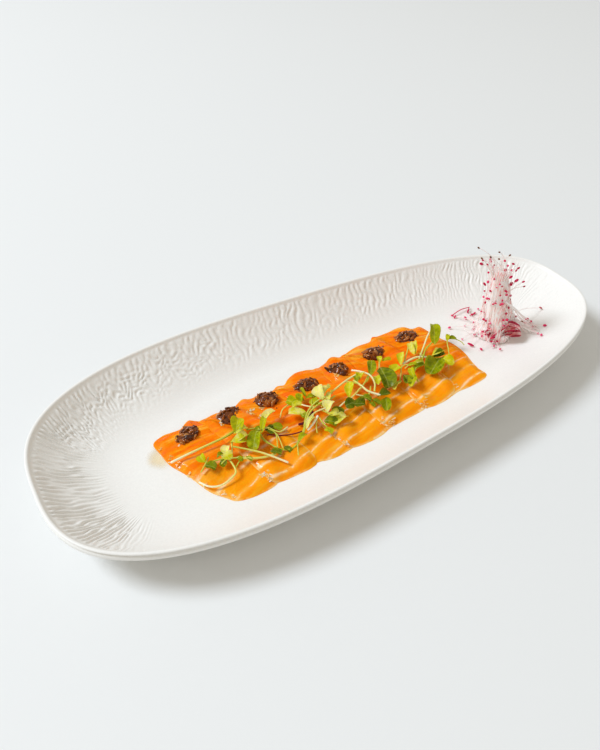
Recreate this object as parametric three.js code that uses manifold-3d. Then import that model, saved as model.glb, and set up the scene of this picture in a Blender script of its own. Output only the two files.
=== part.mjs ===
// Salmon carpaccio on its oval plate, in millimetres.
//
// +X runs along the plate towards its narrow end, +Y across it and +Z up. The origin is the
// middle of the foot ring's underside, on the table.
//
// The plate is a shallow oval bowl. Seven thin slices of salmon lie across its well and overlap
// like shingles, each with a dab of dark tapenade near its far end. Three clumps of cress lie
// along the strip and a heap of fine sprouts stands at the narrow end.

import * as THREE from 'three';
import { mergeVertices } from 'three/addons/utils/BufferGeometryUtils.js';
import Module from 'manifold-3d';

const wasm = await Module();
wasm.setup();

// ---------------------------------------------------------------- driving dimensions

const GAP = 0.3;                // clearance between pieces that touch

// An oval is a superellipse whose end power changes from the wide end (-X) to the narrow one.
const RIM = {
  halfLength: 191.5, halfWidth: 76.7, widePower: 2.6, narrowPower: 3.15, sidePower: 2.8, taper: -0.166,
};
const WELL = {
  halfLength: 134, halfWidth: 38.5, widePower: 2.6, narrowPower: 2.5, sidePower: 2.6, taper: -0.12,
};
const RIM_HEIGHT = 32;          // top of the lip above the table
const WELL_HEIGHT = 7;          // eating surface above the table
const WALL_RISE = 24;           // rise of the inner wall from the well to the lip
const WALL_POWER = 1.85;        // how late the inner wall steepens
const WIDE_END_POWER = 2.6;     // the same at the wide end, where it steepens later
const WIDE_END = [-170, -90];   // x between which the one changes to the other
const WALL_THICKNESS = 4.5;
// The lip's section, from the inner wall over the top and down its upright outer face: how far
// outside the rim's oval, and how far below the top.
const LIP = [[-0.2, 0.6], [0.9, 0], [2.2, 0.8], [2.2, 5], [1.3, 5.6]];
const FOOT_INSET = 5;           // outer edge of the foot ring inside the well's outline
const FOOT_WIDTH = 5;
const FOOT_HEIGHT = 2.5;
const PLATE_SEGMENTS = 64;

const SLICE_THICKNESS = 2.6;
const SLICE_EDGE = 1.2;         // thickness where a slice thins out at its outline
const SLICE_EDGE_WIDTH = 9;
const SLICE_CORNER_POWER = 5;   // high values give sharper corners
const SLICE_SEGMENTS = 26;
const DRAPE_NEAR = 8.6;         // an upper slice clears its neighbour's outline by this much
const DRAPE_FAR = 18;           // and is down on the plate at this distance

// x of a slice's four corners, y of its front and back ends, and the ripple of its back end.
const SLICES = [
  {
    frontLeft: -102.4, frontRight: -64.4, backLeft: -125.4, backRight: -79.4,
    front: -46.4, back: 24.1, ripple: 2.2, phase: 0.4,
  },
  {
    frontLeft: -52.4, frontRight: -10.4, backLeft: -76.4, backRight: -26.4,
    front: -45.4, back: 25.6, ripple: 2, phase: 1.9,
  },
  {
    frontLeft: 55.6, frontRight: 98.6, backLeft: 39.6, backRight: 90.6,
    front: -40.4, back: 33.6, ripple: 1.4, phase: 0.2,
  },
  {
    frontLeft: -75.4, frontRight: -41.4, backLeft: -90.4, backRight: -63.4,
    front: -45.4, back: 24.1, ripple: 1.2, phase: 2.6,
  },
  {
    frontLeft: -22.9, frontRight: 17.6, backLeft: -39.4, backRight: 11.6,
    front: -45.4, back: 29.1, ripple: 2.2, phase: 5.2,
  },
  {
    frontLeft: 6.6, frontRight: 47.6, backLeft: -0.4, backRight: 31.6,
    front: -42.4, back: 30.1, ripple: 1.6, phase: 1,
  },
  {
    frontLeft: 36.6, frontRight: 68.6, backLeft: 19.6, backRight: 52.6,
    front: -41.9, back: 32.1, ripple: 0.8, phase: 4.4,
  },
];
// Place of each slice of the list above along the strip, counted from the wide end.
const SLICE_PLACES = [1, 3, 7, 2, 4, 5, 6];

const DABS = [
  { x: -101.9, y: 14.6, rx: 6.6, ry: 7.0, height: 5.5 },
  { x: -74.4, y: 15.6, rx: 7.2, ry: 7.4, height: 5.8 },
  { x: -45.9, y: 16.1, rx: 6.2, ry: 6.8, height: 5.4 },
  { x: -17.4, y: 15.1, rx: 8.6, ry: 5.8, height: 5.2 },
  { x: 10.1, y: 17.1, rx: 7.6, ry: 7.4, height: 6.2 },
  { x: 39.6, y: 17.1, rx: 8.2, ry: 6.6, height: 5.8 },
  { x: 71.1, y: 20.6, rx: 9.4, ry: 6.2, height: 5.6 },
];
const DAB_SEGMENTS = 14;
const DAB_LUMP = 0.12;          // share of its radius by which a dab bulges in and out

// A clump is a wavy band: y of its middle at both ends, its half width and its height.
const CRESS = [
  { name: 'cress_left', from: -117.4, to: -48.4, yFrom: -13.9, yTo: -13.9, halfWidth: 17, height: 8 },
  { name: 'cress_middle', from: -40.4, to: -2.4, yFrom: -11.9, yTo: -9.9, halfWidth: 17, height: 10 },
  { name: 'cress_right', from: 2.6, to: 98.6, yFrom: -9.9, yTo: 0.1, halfWidth: 12.5, height: 10 },
];
const CRESS_SEGMENTS = 30;

// Rings of the sprout heap: height above its base, half axes, and shift along x and y.
const HEAP_CENTRE = { x: 131.6, y: -4.9 };
const HEAP_RINGS = [
  { height: 0, rx: 28, ry: 20, shiftX: -1, shiftY: 0 },
  { height: 3.5, rx: 24, ry: 17, shiftX: -1, shiftY: 0 },
  { height: 12, rx: 15.5, ry: 13.5, shiftX: -1.5, shiftY: -1 },
  { height: 22, rx: 12.5, ry: 11.5, shiftX: -2.7, shiftY: -0.4 },
  { height: 36, rx: 11, ry: 10.5, shiftX: -4.9, shiftY: 1 },
  { height: 50, rx: 11, ry: 10.5, shiftX: -6.5, shiftY: 1.9 },
  { height: 60, rx: 11.5, ry: 11, shiftX: -7.5, shiftY: 2.5 },
  { height: 66, rx: 8, ry: 8, shiftX: -8, shiftY: 3 },
];
const HEAP_TOP = 68;
const HEAP_SEGMENTS = 20;
const HEAP_LUMP = 0.1;

const COLOURS = {
  plate: 0xf0efe9, salmon: 0xf98a12, tapenade: 0x3a2a22, cress: 0x8fa53a, sprouts: 0xf0dedc,
};

// ---------------------------------------------------------------- small helpers

const lerp = THREE.MathUtils.lerp;
const smoothstep = THREE.MathUtils.smoothstep;

function signedPower(value, power) {
  return Math.sign(value) * Math.abs(value) ** power;
}

// Even spacing along an oval needs smaller steps of the angle near its four extremes.
function evenAngle(index, count) {
  const turn = (index / count) * 2 * Math.PI;
  return turn - 0.0875 * Math.sin(4 * turn);
}

function geometryFrom(points, triangles) {
  const geometry = new THREE.BufferGeometry();
  geometry.setAttribute('position', new THREE.Float32BufferAttribute(points.flat(), 3));
  geometry.setIndex(triangles.flat());
  return geometry;
}

// Closed surface through stacked loops of equal length, from a point above to a point below.
function loftedGeometry(first, loops, last) {
  const count = loops[0].length;
  const points = [first, ...loops.flat(), last];
  const lastIndex = points.length - 1;
  const triangles = [];
  for (let k = 0; k < count; k += 1) {
    const next = (k + 1) % count;
    triangles.push([0, 1 + k, 1 + next]);
    for (let loop = 0; loop + 1 < loops.length; loop += 1) {
      const here = 1 + loop * count;
      const there = here + count;
      triangles.push([here + k, there + k, there + next]);
      triangles.push([here + k, there + next, here + next]);
    }
    const end = 1 + (loops.length - 1) * count;
    triangles.push([end + next, end + k, lastIndex]);
  }
  return geometryFrom(points, triangles);
}

function solidFrom(geometry) {
  const bare = geometry.clone();
  bare.deleteAttribute('normal');
  bare.deleteAttribute('uv');
  const merged = mergeVertices(bare, 1e-4);
  return new wasm.Manifold(new wasm.Mesh({
    numProp: 3,
    vertProperties: new Float32Array(merged.attributes.position.array),
    triVerts: new Uint32Array(merged.index.array),
  }));
}

function geometryOf(solid) {
  const mesh = solid.getMesh();
  const geometry = new THREE.BufferGeometry();
  geometry.setAttribute('position', new THREE.BufferAttribute(new Float32Array(mesh.vertProperties), 3));
  geometry.setIndex(new THREE.BufferAttribute(new Uint32Array(mesh.triVerts), 1));
  return geometry;
}

function prism(outline, low, high) {
  const shape = new THREE.Shape(outline.map(([x, y]) => new THREE.Vector2(x, y)));
  const geometry = new THREE.ExtrudeGeometry(shape, { depth: high - low, bevelEnabled: false });
  return geometry.translate(0, 0, low);
}

// Distance from a point to a closed outline, positive inside it.
function insideDistance(outline, x, y) {
  let nearest = Infinity;
  let inside = false;
  outline.forEach(([bx, by], k) => {
    const [ax, ay] = outline[(k + outline.length - 1) % outline.length];
    const along = THREE.MathUtils.clamp(
      ((x - ax) * (bx - ax) + (y - ay) * (by - ay)) / ((bx - ax) ** 2 + (by - ay) ** 2), 0, 1);
    nearest = Math.min(nearest, Math.hypot(x - lerp(ax, bx, along), y - lerp(ay, by, along)));
    if ((ay > y) !== (by > y) && x < ax + ((y - ay) * (bx - ax)) / (by - ay)) inside = !inside;
  });
  return inside ? nearest : -nearest;
}

// ---------------------------------------------------------------- plate

function ovalBetween(share) {
  return Object.fromEntries(Object.keys(RIM).map((key) => [key, lerp(WELL[key], RIM[key], share)]));
}

function insetOval(oval, inset) {
  return { ...oval, halfLength: oval.halfLength - inset, halfWidth: oval.halfWidth - inset };
}

function endPower(oval, u) {
  return lerp(oval.widePower, oval.narrowPower, (u + 1) / 2);
}

function ovalPoint(oval, angle) {
  const u = signedPower(Math.cos(angle), 2 / 3.4);
  const v = Math.sign(Math.sin(angle)) * (1 - Math.abs(u) ** endPower(oval, u)) ** (1 / oval.sidePower);
  return [oval.halfLength * u, oval.halfWidth * v * (1 + oval.taper * u)];
}

// A loop of points round an oval. Its height is a number, or a function of x.
function ovalLoop(oval, height, outward = 0) {
  return Array.from({ length: PLATE_SEGMENTS }, (_, k) => {
    const angle = evenAngle(k + 0.5, PLATE_SEGMENTS);
    const [x, y] = ovalPoint(oval, angle);
    const [x0, y0] = ovalPoint(oval, angle - 0.01);
    const [x1, y1] = ovalPoint(oval, angle + 0.01);
    const length = Math.hypot(x1 - x0, y1 - y0);
    const z = typeof height === 'function' ? height(x) : height;
    return [x + (outward * (y1 - y0)) / length, y - (outward * (x1 - x0)) / length, z];
  });
}

function wallPower(x) {
  return lerp(WIDE_END_POWER, WALL_POWER, smoothstep(x, ...WIDE_END));
}

function wallHeight(share, x) {
  return WELL_HEIGHT + WALL_RISE * share ** wallPower(x);
}

function wallUnderside(share, x) {
  const power = wallPower(x);
  const slope = (WALL_RISE * power * share ** (power - 1)) / (RIM.halfWidth - WELL.halfWidth);
  return wallHeight(share, x) - WALL_THICKNESS * Math.hypot(1, slope);
}

// Height of the plate's upper surface over any point, by halving the share of the wall.
function plateHeight(x, y) {
  const within = (oval) => {
    const u = x / oval.halfLength;
    const v = y / (oval.halfWidth * (1 + oval.taper * u));
    return Math.abs(u) ** endPower(oval, u) + Math.abs(v) ** oval.sidePower < 1;
  };
  let low = 0;
  let high = 1;
  for (let step = 0; step < 20; step += 1) {
    const middle = (low + high) / 2;
    if (within(ovalBetween(middle))) high = middle;
    else low = middle;
  }
  return wallHeight(high, x);
}

function plateGeometry() {
  const innerWall = [0, 0.17, 0.34, 0.5, 0.66, 0.82, 0.95];
  const outerWall = [0.85, 0.5, 0.2];
  const footOuter = insetOval(WELL, FOOT_INSET);
  const footInner = insetOval(WELL, FOOT_INSET + FOOT_WIDTH);
  const loops = [
    ...innerWall.map((share) => ovalLoop(ovalBetween(share), (x) => wallHeight(share, x))),
    ...LIP.map(([outward, below]) => ovalLoop(RIM, RIM_HEIGHT - below, outward)),
    ...outerWall.map((share) => ovalLoop(ovalBetween(share), (x) => wallUnderside(share, x))),
    ovalLoop(footOuter, FOOT_HEIGHT),
    ovalLoop(footOuter, 0),
    ovalLoop(footInner, 0),
    ovalLoop(footInner, FOOT_HEIGHT),
  ];
  return loftedGeometry([0, 0, WELL_HEIGHT], loops, [0, 0, FOOT_HEIGHT]);
}

// ---------------------------------------------------------------- layers on a common lattice

// The slices and the cress are slabs between two height fields on one lattice of squares, so
// each follows exactly what lies below it, a gap apart, and is then cut to its own outline.
const LATTICE = { step: 6, left: -132, right: 108, front: -54, back: 48 };
const COLUMNS = (LATTICE.right - LATTICE.left) / LATTICE.step + 1;
const ROWS = (LATTICE.back - LATTICE.front) / LATTICE.step + 1;

function latticeHeights(heightAt) {
  return Array.from({ length: COLUMNS * ROWS }, (_, index) => {
    const x = LATTICE.left + (index % COLUMNS) * LATTICE.step;
    const y = LATTICE.front + Math.floor(index / COLUMNS) * LATTICE.step;
    return heightAt(x, y, index);
  });
}

function layerSolid(outline, bottom, top) {
  const xs = outline.map(([x]) => x);
  const ys = outline.map(([, y]) => y);
  const column0 = Math.floor((Math.min(...xs) - LATTICE.left) / LATTICE.step);
  const column1 = Math.ceil((Math.max(...xs) - LATTICE.left) / LATTICE.step);
  const row0 = Math.floor((Math.min(...ys) - LATTICE.front) / LATTICE.step);
  const row1 = Math.ceil((Math.max(...ys) - LATTICE.front) / LATTICE.step);
  const width = column1 - column0 + 1;
  const depth = row1 - row0 + 1;
  const points = [];
  [bottom, top].forEach((heights) => {
    for (let row = row0; row <= row1; row += 1) {
      for (let column = column0; column <= column1; column += 1) {
        points.push([
          LATTICE.left + column * LATTICE.step,
          LATTICE.front + row * LATTICE.step,
          heights[row * COLUMNS + column],
        ]);
      }
    }
  });
  const above = width * depth;
  const triangles = [];
  const quad = (a, b, c, d) => triangles.push([a, b, c], [a, c, d]);
  for (let row = 0; row + 1 < depth; row += 1) {
    for (let column = 0; column + 1 < width; column += 1) {
      const a = row * width + column;
      quad(above + a, above + a + 1, above + a + width + 1, above + a + width);
      triangles.push([a, a + width + 1, a + 1], [a, a + width, a + width + 1]);
    }
  }
  for (let column = 0; column + 1 < width; column += 1) {
    const back = (depth - 1) * width + column;
    quad(column, column + 1, above + column + 1, above + column);
    quad(back + 1, back, above + back, above + back + 1);
  }
  for (let row = 0; row + 1 < depth; row += 1) {
    const left = row * width;
    const right = left + width - 1;
    quad(left + width, left, above + left, above + left + width);
    quad(right, right + width, above + right + width, above + right);
  }
  const slab = solidFrom(geometryFrom(points, triangles));
  return slab.intersect(solidFrom(prism(outline, 0, 2 * RIM_HEIGHT)));
}

// ---------------------------------------------------------------- salmon

function sliceOutline(slice) {
  return Array.from({ length: SLICE_SEGMENTS }, (_, k) => {
    const angle = ((k + 0.5) / SLICE_SEGMENTS) * 2 * Math.PI;
    const u = signedPower(Math.cos(angle), 2 / SLICE_CORNER_POWER);
    const v = signedPower(Math.sin(angle), 2 / SLICE_CORNER_POWER);
    const across = (u + 1) / 2;
    const along = (v + 1) / 2;
    const front = lerp(slice.frontLeft, slice.frontRight, across);
    const back = lerp(slice.backLeft, slice.backRight, across);
    const ripple = slice.ripple * Math.sin(3.2 * u + slice.phase) * along;
    return [lerp(front, back, along), lerp(slice.front, slice.back, along) + ripple];
  });
}

function sliceThickness(outline, x, y, phase) {
  const edge = smoothstep(insideDistance(outline, x, y), 0, SLICE_EDGE_WIDTH);
  const wave = 0.25 * Math.sin(x / 6 + phase) * Math.cos(y / 8 + phase);
  return lerp(SLICE_EDGE, SLICE_THICKNESS + wave, edge);
}

function salmonSlices(ground) {
  let stack = ground;
  const slices = SLICES.map((slice, order) => {
    const outline = sliceOutline(slice);
    const bottom = stack.map((height) => height + GAP);
    const top = latticeHeights(
      (x, y, index) => bottom[index] + sliceThickness(outline, x, y, slice.phase));
    stack = latticeHeights((x, y, index) => {
      const outside = -insideDistance(outline, x, y);
      const drape = 1 - smoothstep(outside, DRAPE_NEAR, DRAPE_FAR);
      return lerp(stack[index], top[index], drape);
    });
    const geometry = geometryOf(layerSolid(outline, bottom, top));
    return { name: `salmon_slice_${SLICE_PLACES[order]}`, geometry };
  });
  return { slices, stack };
}

// ---------------------------------------------------------------- tapenade and sprouts

function lumpyLoop(cx, cy, rx, ry, z, count, lump, phase) {
  return Array.from({ length: count }, (_, k) => {
    const angle = (k / count) * 2 * Math.PI;
    const bulge = 1 + lump * Math.sin(3 * angle + phase) + 0.6 * lump * Math.sin(5 * angle - 2 * phase);
    return [cx + rx * bulge * Math.cos(angle), cy + ry * bulge * Math.sin(angle), z];
  });
}

// A dab's height is shared out over four rings, rounded at the top and wide at the foot.
function dabGeometry(dab, base, phase) {
  const rings = [
    { rise: 0.97, spread: 0.4 },
    { rise: 0.78, spread: 0.78 },
    { rise: 0.4, spread: 1 },
    { rise: 0, spread: 0.94 },
  ];
  const loops = rings.map(({ rise, spread }, k) => lumpyLoop(
    dab.x, dab.y, dab.rx * spread, dab.ry * spread, base + rise * dab.height,
    DAB_SEGMENTS, DAB_LUMP, phase + 0.5 * k));
  return loftedGeometry([dab.x, dab.y, base + dab.height], loops, [dab.x, dab.y, base]);
}

function highestNear(stack, dab) {
  let highest = 0;
  latticeHeights((x, y, index) => {
    const near = Math.abs(x - dab.x) < dab.rx + LATTICE.step && Math.abs(y - dab.y) < dab.ry + LATTICE.step;
    if (near) highest = Math.max(highest, stack[index]);
    return 0;
  });
  return highest;
}

// The two lowest loops follow the curved plate, and the others are level.
function heapGeometry() {
  const { x: cx, y: cy } = HEAP_CENTRE;
  const onPlate = ([x, y], lift) => [x, y, plateHeight(x, y) + GAP + lift];
  const inner = lumpyLoop(cx, cy, 15, 10.5, 0, HEAP_SEGMENTS, 0, 0).map((point) => onPlate(point, 0.2));
  const loops = HEAP_RINGS.map((ring, k) => {
    const loop = lumpyLoop(cx + ring.shiftX, cy + ring.shiftY, ring.rx, ring.ry,
      WELL_HEIGHT + ring.height, HEAP_SEGMENTS, HEAP_LUMP, 0.7 * k + 1);
    return k < 2 ? loop.map((point) => onPlate(point, ring.height + 0.2)) : loop;
  });
  const top = HEAP_RINGS[HEAP_RINGS.length - 1];
  return loftedGeometry([cx + top.shiftX, cy + top.shiftY, WELL_HEIGHT + HEAP_TOP],
    [...loops.reverse(), inner], [cx, cy, WELL_HEIGHT + GAP]);
}

// ---------------------------------------------------------------- cress

function cressOutline(clump) {
  return Array.from({ length: CRESS_SEGMENTS }, (_, k) => {
    const angle = ((k + 0.5) / CRESS_SEGMENTS) * 2 * Math.PI;
    const u = signedPower(Math.cos(angle), 0.7);
    const across = (u + 1) / 2;
    const wave = 1 + 0.16 * Math.sin(9 * across + clump.from) + 0.1 * Math.sin(4 * angle);
    const aside = clump.halfWidth * wave * signedPower(Math.sin(angle), 0.7);
    return [lerp(clump.from, clump.to, across), lerp(clump.yFrom, clump.yTo, across) + aside];
  });
}

function cressGeometry(clump, stack) {
  const outline = cressOutline(clump);
  const bottom = stack.map((height) => height + GAP);
  const top = latticeHeights((x, y, index) => {
    const edge = smoothstep(insideDistance(outline, x, y), -2, 9);
    const tufts = 0.72 + 0.28 * Math.sin(x / 4.2) * Math.cos(y / 3.6);
    return bottom[index] + 1.5 + clump.height * edge * tufts;
  });
  return geometryOf(layerSolid(outline, bottom, top));
}

// ---------------------------------------------------------------- assembly

const group = new THREE.Group();

function addPiece(name, geometry, color, roughness) {
  const material = new THREE.MeshStandardMaterial({ color, roughness, metalness: 0 });
  const mesh = new THREE.Mesh(geometry, material);
  mesh.name = name;
  group.add(mesh);
}

addPiece('plate', plateGeometry(), COLOURS.plate, 0.3);

const { slices, stack } = salmonSlices(latticeHeights(plateHeight));
slices.forEach(({ name, geometry }) => addPiece(name, geometry, COLOURS.salmon, 0.25));

DABS.forEach((dab, k) => {
  const base = highestNear(stack, dab) + GAP;
  addPiece(`tapenade_dab_${k + 1}`, dabGeometry(dab, base, 1.3 * k), COLOURS.tapenade, 0.35);
});

CRESS.forEach((clump) => addPiece(clump.name, cressGeometry(clump, stack), COLOURS.cress, 0.5));

addPiece('sprout_heap', heapGeometry(), COLOURS.sprouts, 0.5);

export default group;
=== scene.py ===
# %% [markdown]
# # Salmon carpaccio on an oval plate
#
# The real object is a deep oval porcelain plate. Thin slices of raw salmon lie across its well
# like shingles, with dabs of dark tapenade, a tangle of cress and a heap of fine sprouts.
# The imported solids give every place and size. This script gives each of them its true surface:
# it loads the solids, builds a detailed mesh for each, and hides the plain one behind it.

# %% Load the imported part
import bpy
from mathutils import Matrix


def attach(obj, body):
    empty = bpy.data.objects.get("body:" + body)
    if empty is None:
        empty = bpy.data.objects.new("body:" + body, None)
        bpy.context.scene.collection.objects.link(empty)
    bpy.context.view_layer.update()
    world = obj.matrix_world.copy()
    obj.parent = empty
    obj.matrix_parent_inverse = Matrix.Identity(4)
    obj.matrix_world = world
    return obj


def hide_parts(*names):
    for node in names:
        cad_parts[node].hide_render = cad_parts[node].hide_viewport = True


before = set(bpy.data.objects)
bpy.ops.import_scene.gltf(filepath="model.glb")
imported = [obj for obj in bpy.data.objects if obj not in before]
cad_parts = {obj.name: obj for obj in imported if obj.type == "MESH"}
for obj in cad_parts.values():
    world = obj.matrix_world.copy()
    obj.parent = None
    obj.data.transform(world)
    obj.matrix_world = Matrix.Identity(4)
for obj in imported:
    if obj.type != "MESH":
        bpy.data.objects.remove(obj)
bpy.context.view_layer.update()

import math

import bmesh
import bpy
import numpy as np
from mathutils import Vector

# %% [markdown]
# ## Units and colours
#
# Food is easiest to think about in millimetres, so all sizes below are millimetres and one
# constant turns them into Blender's metres when a mesh is made. Colours are written as the hex
# values that a colour picker shows. A shader wants linear light, so one function converts them.

# %% Units and colours
MM = 0.001
RIDES_ON = "root"


def linear(hex_colour):
    """A picker's #RRGGBB as linear red, green, blue and an alpha of 1."""
    channels = [int(hex_colour[k:k + 2], 16) / 255 for k in (1, 3, 5)]
    return tuple(c / 12.92 if c <= 0.04045 else ((c + 0.055) / 1.055) ** 2.4 for c in channels) + (1.0,)


def smoothstep(low, high, value):
    share = np.clip((value - low) / (high - low), 0.0, 1.0)
    return share * share * (3 - 2 * share)


def lerp(a, b, share):
    return a + (b - a) * share


# %% [markdown]
# ## Materials are small graphs
#
# A material is a graph of nodes. Wiring one by hand takes three lines for each node, so one
# helper adds a node, gives it its settings and fills or links its inputs. Every material below
# is a few calls of it, read from the texture coordinates at the start to the surface at the end.

# %% A helper that adds one node
COLOURS = {"data_type": "RGBA"}  # settings that several nodes share
SMOOTH = {"interpolation_type": "SMOOTHSTEP"}
TIMES = {"operation": "MULTIPLY"}
TIMES_PLUS = {"operation": "MULTIPLY_ADD"}
MINUS = {"operation": "SUBTRACT"}


def node(tree, kind, settings=None, **inputs):
    """Adds a node. An input is a value, an output, or a node whose first output is meant.

    An underscore and a number name an input by its place. The stops of a colour ramp are
    settings too: pairs of a position and a hex colour.
    """
    made = tree.nodes.new("ShaderNode" + kind)
    for name, value in (settings or {}).items():
        if name != "stops":
            setattr(made, name, value)
            continue
        elements = made.color_ramp.elements
        while len(elements) < len(value):
            elements.new(0.5)
        for element, (position, colour) in zip(elements, value):
            element.position = position
            element.color = linear(colour)
    for name, value in inputs.items():
        key = int(name[1:]) if name.startswith("_") else name.replace("_", " ")
        if isinstance(value, bpy.types.Node):
            value = next(output for output in value.outputs if output.enabled)
        if isinstance(value, bpy.types.NodeSocket):
            tree.links.new(value, made.inputs[key])
        else:
            made.inputs[key].default_value = value
    return made


def new_material(name):
    """An empty material and its graph."""
    material = bpy.data.materials.new(name)
    material.use_nodes = True
    material.node_tree.nodes.clear()
    return material, material.node_tree


# %% [markdown]
# ## From numbers to a mesh
#
# Each piece is worked out as arrays of points in millimetres. `make_piece` turns points and
# faces into a smooth Blender mesh, hides the plain solids that it stands for, and ties it to
# the body that it rides on. A closed mesh matters: the skin must not show holes, and light
# that passes through salmon or a leaf needs an inside. Numbers that a material needs, such as
# how pale a leaf is, travel with the points as named attributes.

# %% A helper that makes one piece
def make_piece(name, shape, material, replaces=(), body=RIDES_ON):
    """A smooth mesh from a dict of points in mm, faces and any values for each point."""
    points, faces = np.asarray(shape["points"], float), shape["faces"]
    mesh = bpy.data.meshes.new(name)
    mesh.from_pydata((points * MM).tolist(), [], [tuple(map(int, f)) for f in faces])
    turned = bmesh.new()
    turned.from_mesh(mesh)
    bmesh.ops.recalc_face_normals(turned, faces=turned.faces)
    turned.to_mesh(mesh)
    turned.free()
    mesh.update()
    mesh.polygons.foreach_set("use_smooth", [True] * len(mesh.polygons))
    corner_points = np.empty(len(mesh.loops), int)
    mesh.loops.foreach_get("vertex_index", corner_points)
    for key, values in shape.items():
        if key == "grain":
            layer = mesh.uv_layers.new(name=key)
            layer.data.foreach_set("uv", np.asarray(values, float)[corner_points].ravel())
        elif key not in ("points", "faces"):
            layer = mesh.attributes.new(key, "FLOAT", "POINT")
            layer.data.foreach_set("value", np.asarray(values, float))
    mesh.materials.append(material)
    piece = bpy.data.objects.new(name, mesh)
    bpy.context.scene.collection.objects.link(piece)
    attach(piece, body)
    if replaces:
        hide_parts(*replaces)
    print(f"{name}: {len(mesh.vertices)} points, {sum(len(f) - 2 for f in faces)} triangles")


def joined(shapes):
    """Several shapes as one, with their values kept."""
    total = {key: np.concatenate([shape[key] for shape in shapes]) for key in shapes[0] if key != "faces"}
    total["faces"] = []
    first = 0
    for shape in shapes:
        total["faces"] += [tuple(i + first for i in face) for face in shape["faces"]]
        first += len(shape["points"])
    return total


def loft_faces(loops, count, first=0, closed=True):
    """Quads between stacked loops of count points each, numbered from first."""
    faces = []
    for loop in range(loops - 1):
        low = first + loop * count
        for k in range(count if closed else count - 1):
            after = (k + 1) % count
            faces.append((low + k, low + k + count, low + after + count, low + after))
    return faces


# %% [markdown]
# ## The camera
#
# The plate is looked at from its wide end and its near side, about 43 degrees above the table,
# with a short lens: that is why the wide end looks so much larger than the narrow one. Its place
# could be given as a point. Turn, tilt and distance from a target are easier to adjust.

# %% Camera
VIEW_TURN = math.radians(-30.86)  # turned from looking along +Y
VIEW_DOWN = math.radians(42.92)  # below the horizontal
VIEW_TARGET = np.array([-27.1, 5.0, 32.0])
VIEW_DISTANCE = 421.7
LENS = 32.64  # for a sensor whose long side is 36 mm

forward = np.array([
    -math.sin(VIEW_TURN) * math.cos(VIEW_DOWN),
    math.cos(VIEW_TURN) * math.cos(VIEW_DOWN),
    -math.sin(VIEW_DOWN),
])
EYE = VIEW_TARGET - forward * VIEW_DISTANCE

camera = bpy.data.objects.new("camera", bpy.data.cameras.new("camera"))
camera.data.lens = LENS
camera.data.sensor_width = 36.0  # mm
camera.location = EYE * MM
camera.rotation_euler = Vector(forward).to_track_quat("-Z", "Y").to_euler()
bpy.context.scene.collection.objects.link(camera)
bpy.context.scene.camera = camera
print("camera at", [round(v) for v in EYE], "mm")

# %% [markdown]
# ## The table
#
# The plate stands on a plain pale table. Only its surface is seen, so it is one large square. A
# curved backdrop would hide the far edge, but from this height the edge is out of sight anyway.

# %% Table
FLOOR_COLOUR = "#ECECEA"
FLOOR_HALF = 3000.0  # from the middle to an edge

floor_material, tree = new_material("painted_table")
# Matt white paint: a broad dull reflection and nothing else.
paint = node(tree, "BsdfPrincipled", Base_Color=linear(FLOOR_COLOUR), Roughness=0.7)
node(tree, "OutputMaterial", Surface=paint)
floor_mesh = bpy.data.meshes.new("floor")
floor_corners = np.array([(-1, -1, 0), (1, -1, 0), (1, 1, 0), (-1, 1, 0)]) * FLOOR_HALF * MM
floor_mesh.from_pydata(floor_corners.tolist(), [], [(0, 1, 2, 3)])
floor_mesh.materials.append(floor_material)
floor = bpy.data.objects.new("floor", floor_mesh)
bpy.context.scene.collection.objects.link(floor)
print("table:", round(2 * FLOOR_HALF), "mm square")

# %% [markdown]
# ## Window and walls
#
# One large window lights the dish from behind on the left, and white walls send its light back
# from all sides. A disk of light stands for the window: its size and distance set how soft the
# edges of the shadows are. The walls need no shape of their own, so the world around the scene
# is simply an even, slightly warm white.

# %% Lights
KEY_TURN = math.radians(149)  # direction of the window, counted from +X
KEY_UP = math.radians(49)
KEY_DISTANCE = 4200.0
KEY_SIZE = 1450.0
KEY_POWER = 133.0  # watts
KEY_COLOUR = "#E9F3FF"
WALL_LIGHT = 0.525
WALL_COLOUR = "#FFFBF2"

toward_key = np.array([
    math.cos(KEY_TURN) * math.cos(KEY_UP),
    math.sin(KEY_TURN) * math.cos(KEY_UP),
    math.sin(KEY_UP),
])
key = bpy.data.objects.new("window_light", bpy.data.lights.new("window_light", "AREA"))
key.data.shape = "DISK"
key.data.size = KEY_SIZE * MM
key.data.energy = KEY_POWER
key.data.color = linear(KEY_COLOUR)[:3]
key.location = toward_key * KEY_DISTANCE * MM
key.rotation_euler = Vector(-toward_key).to_track_quat("-Z", "Y").to_euler()
bpy.context.scene.collection.objects.link(key)

world = bpy.data.worlds.new("white_room")
bpy.context.scene.world = world
world.use_nodes = True
world.node_tree.nodes["Background"].inputs["Color"].default_value = linear(WALL_COLOUR)
world.node_tree.nodes["Background"].inputs["Strength"].default_value = WALL_LIGHT
bpy.context.scene.view_settings.view_transform = "Standard"
print("window", round(KEY_SIZE), "mm wide,", round(KEY_DISTANCE), "mm away")

# %% [markdown]
# ## The plate's form
#
# The plate is a family of ovals. An oval here is a superellipse, |u|^n + |v|^m = 1: powers near
# 2 give an ellipse and larger ones a fuller, boxier curve. The plate is also wider at one end,
# so its width tapers. The inner wall runs from the well's outline (share 0) to the rim's
# (share 1) and steepens as it rises. One function gives the height of the wall anywhere,
# because the food has to lie on it.

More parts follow.
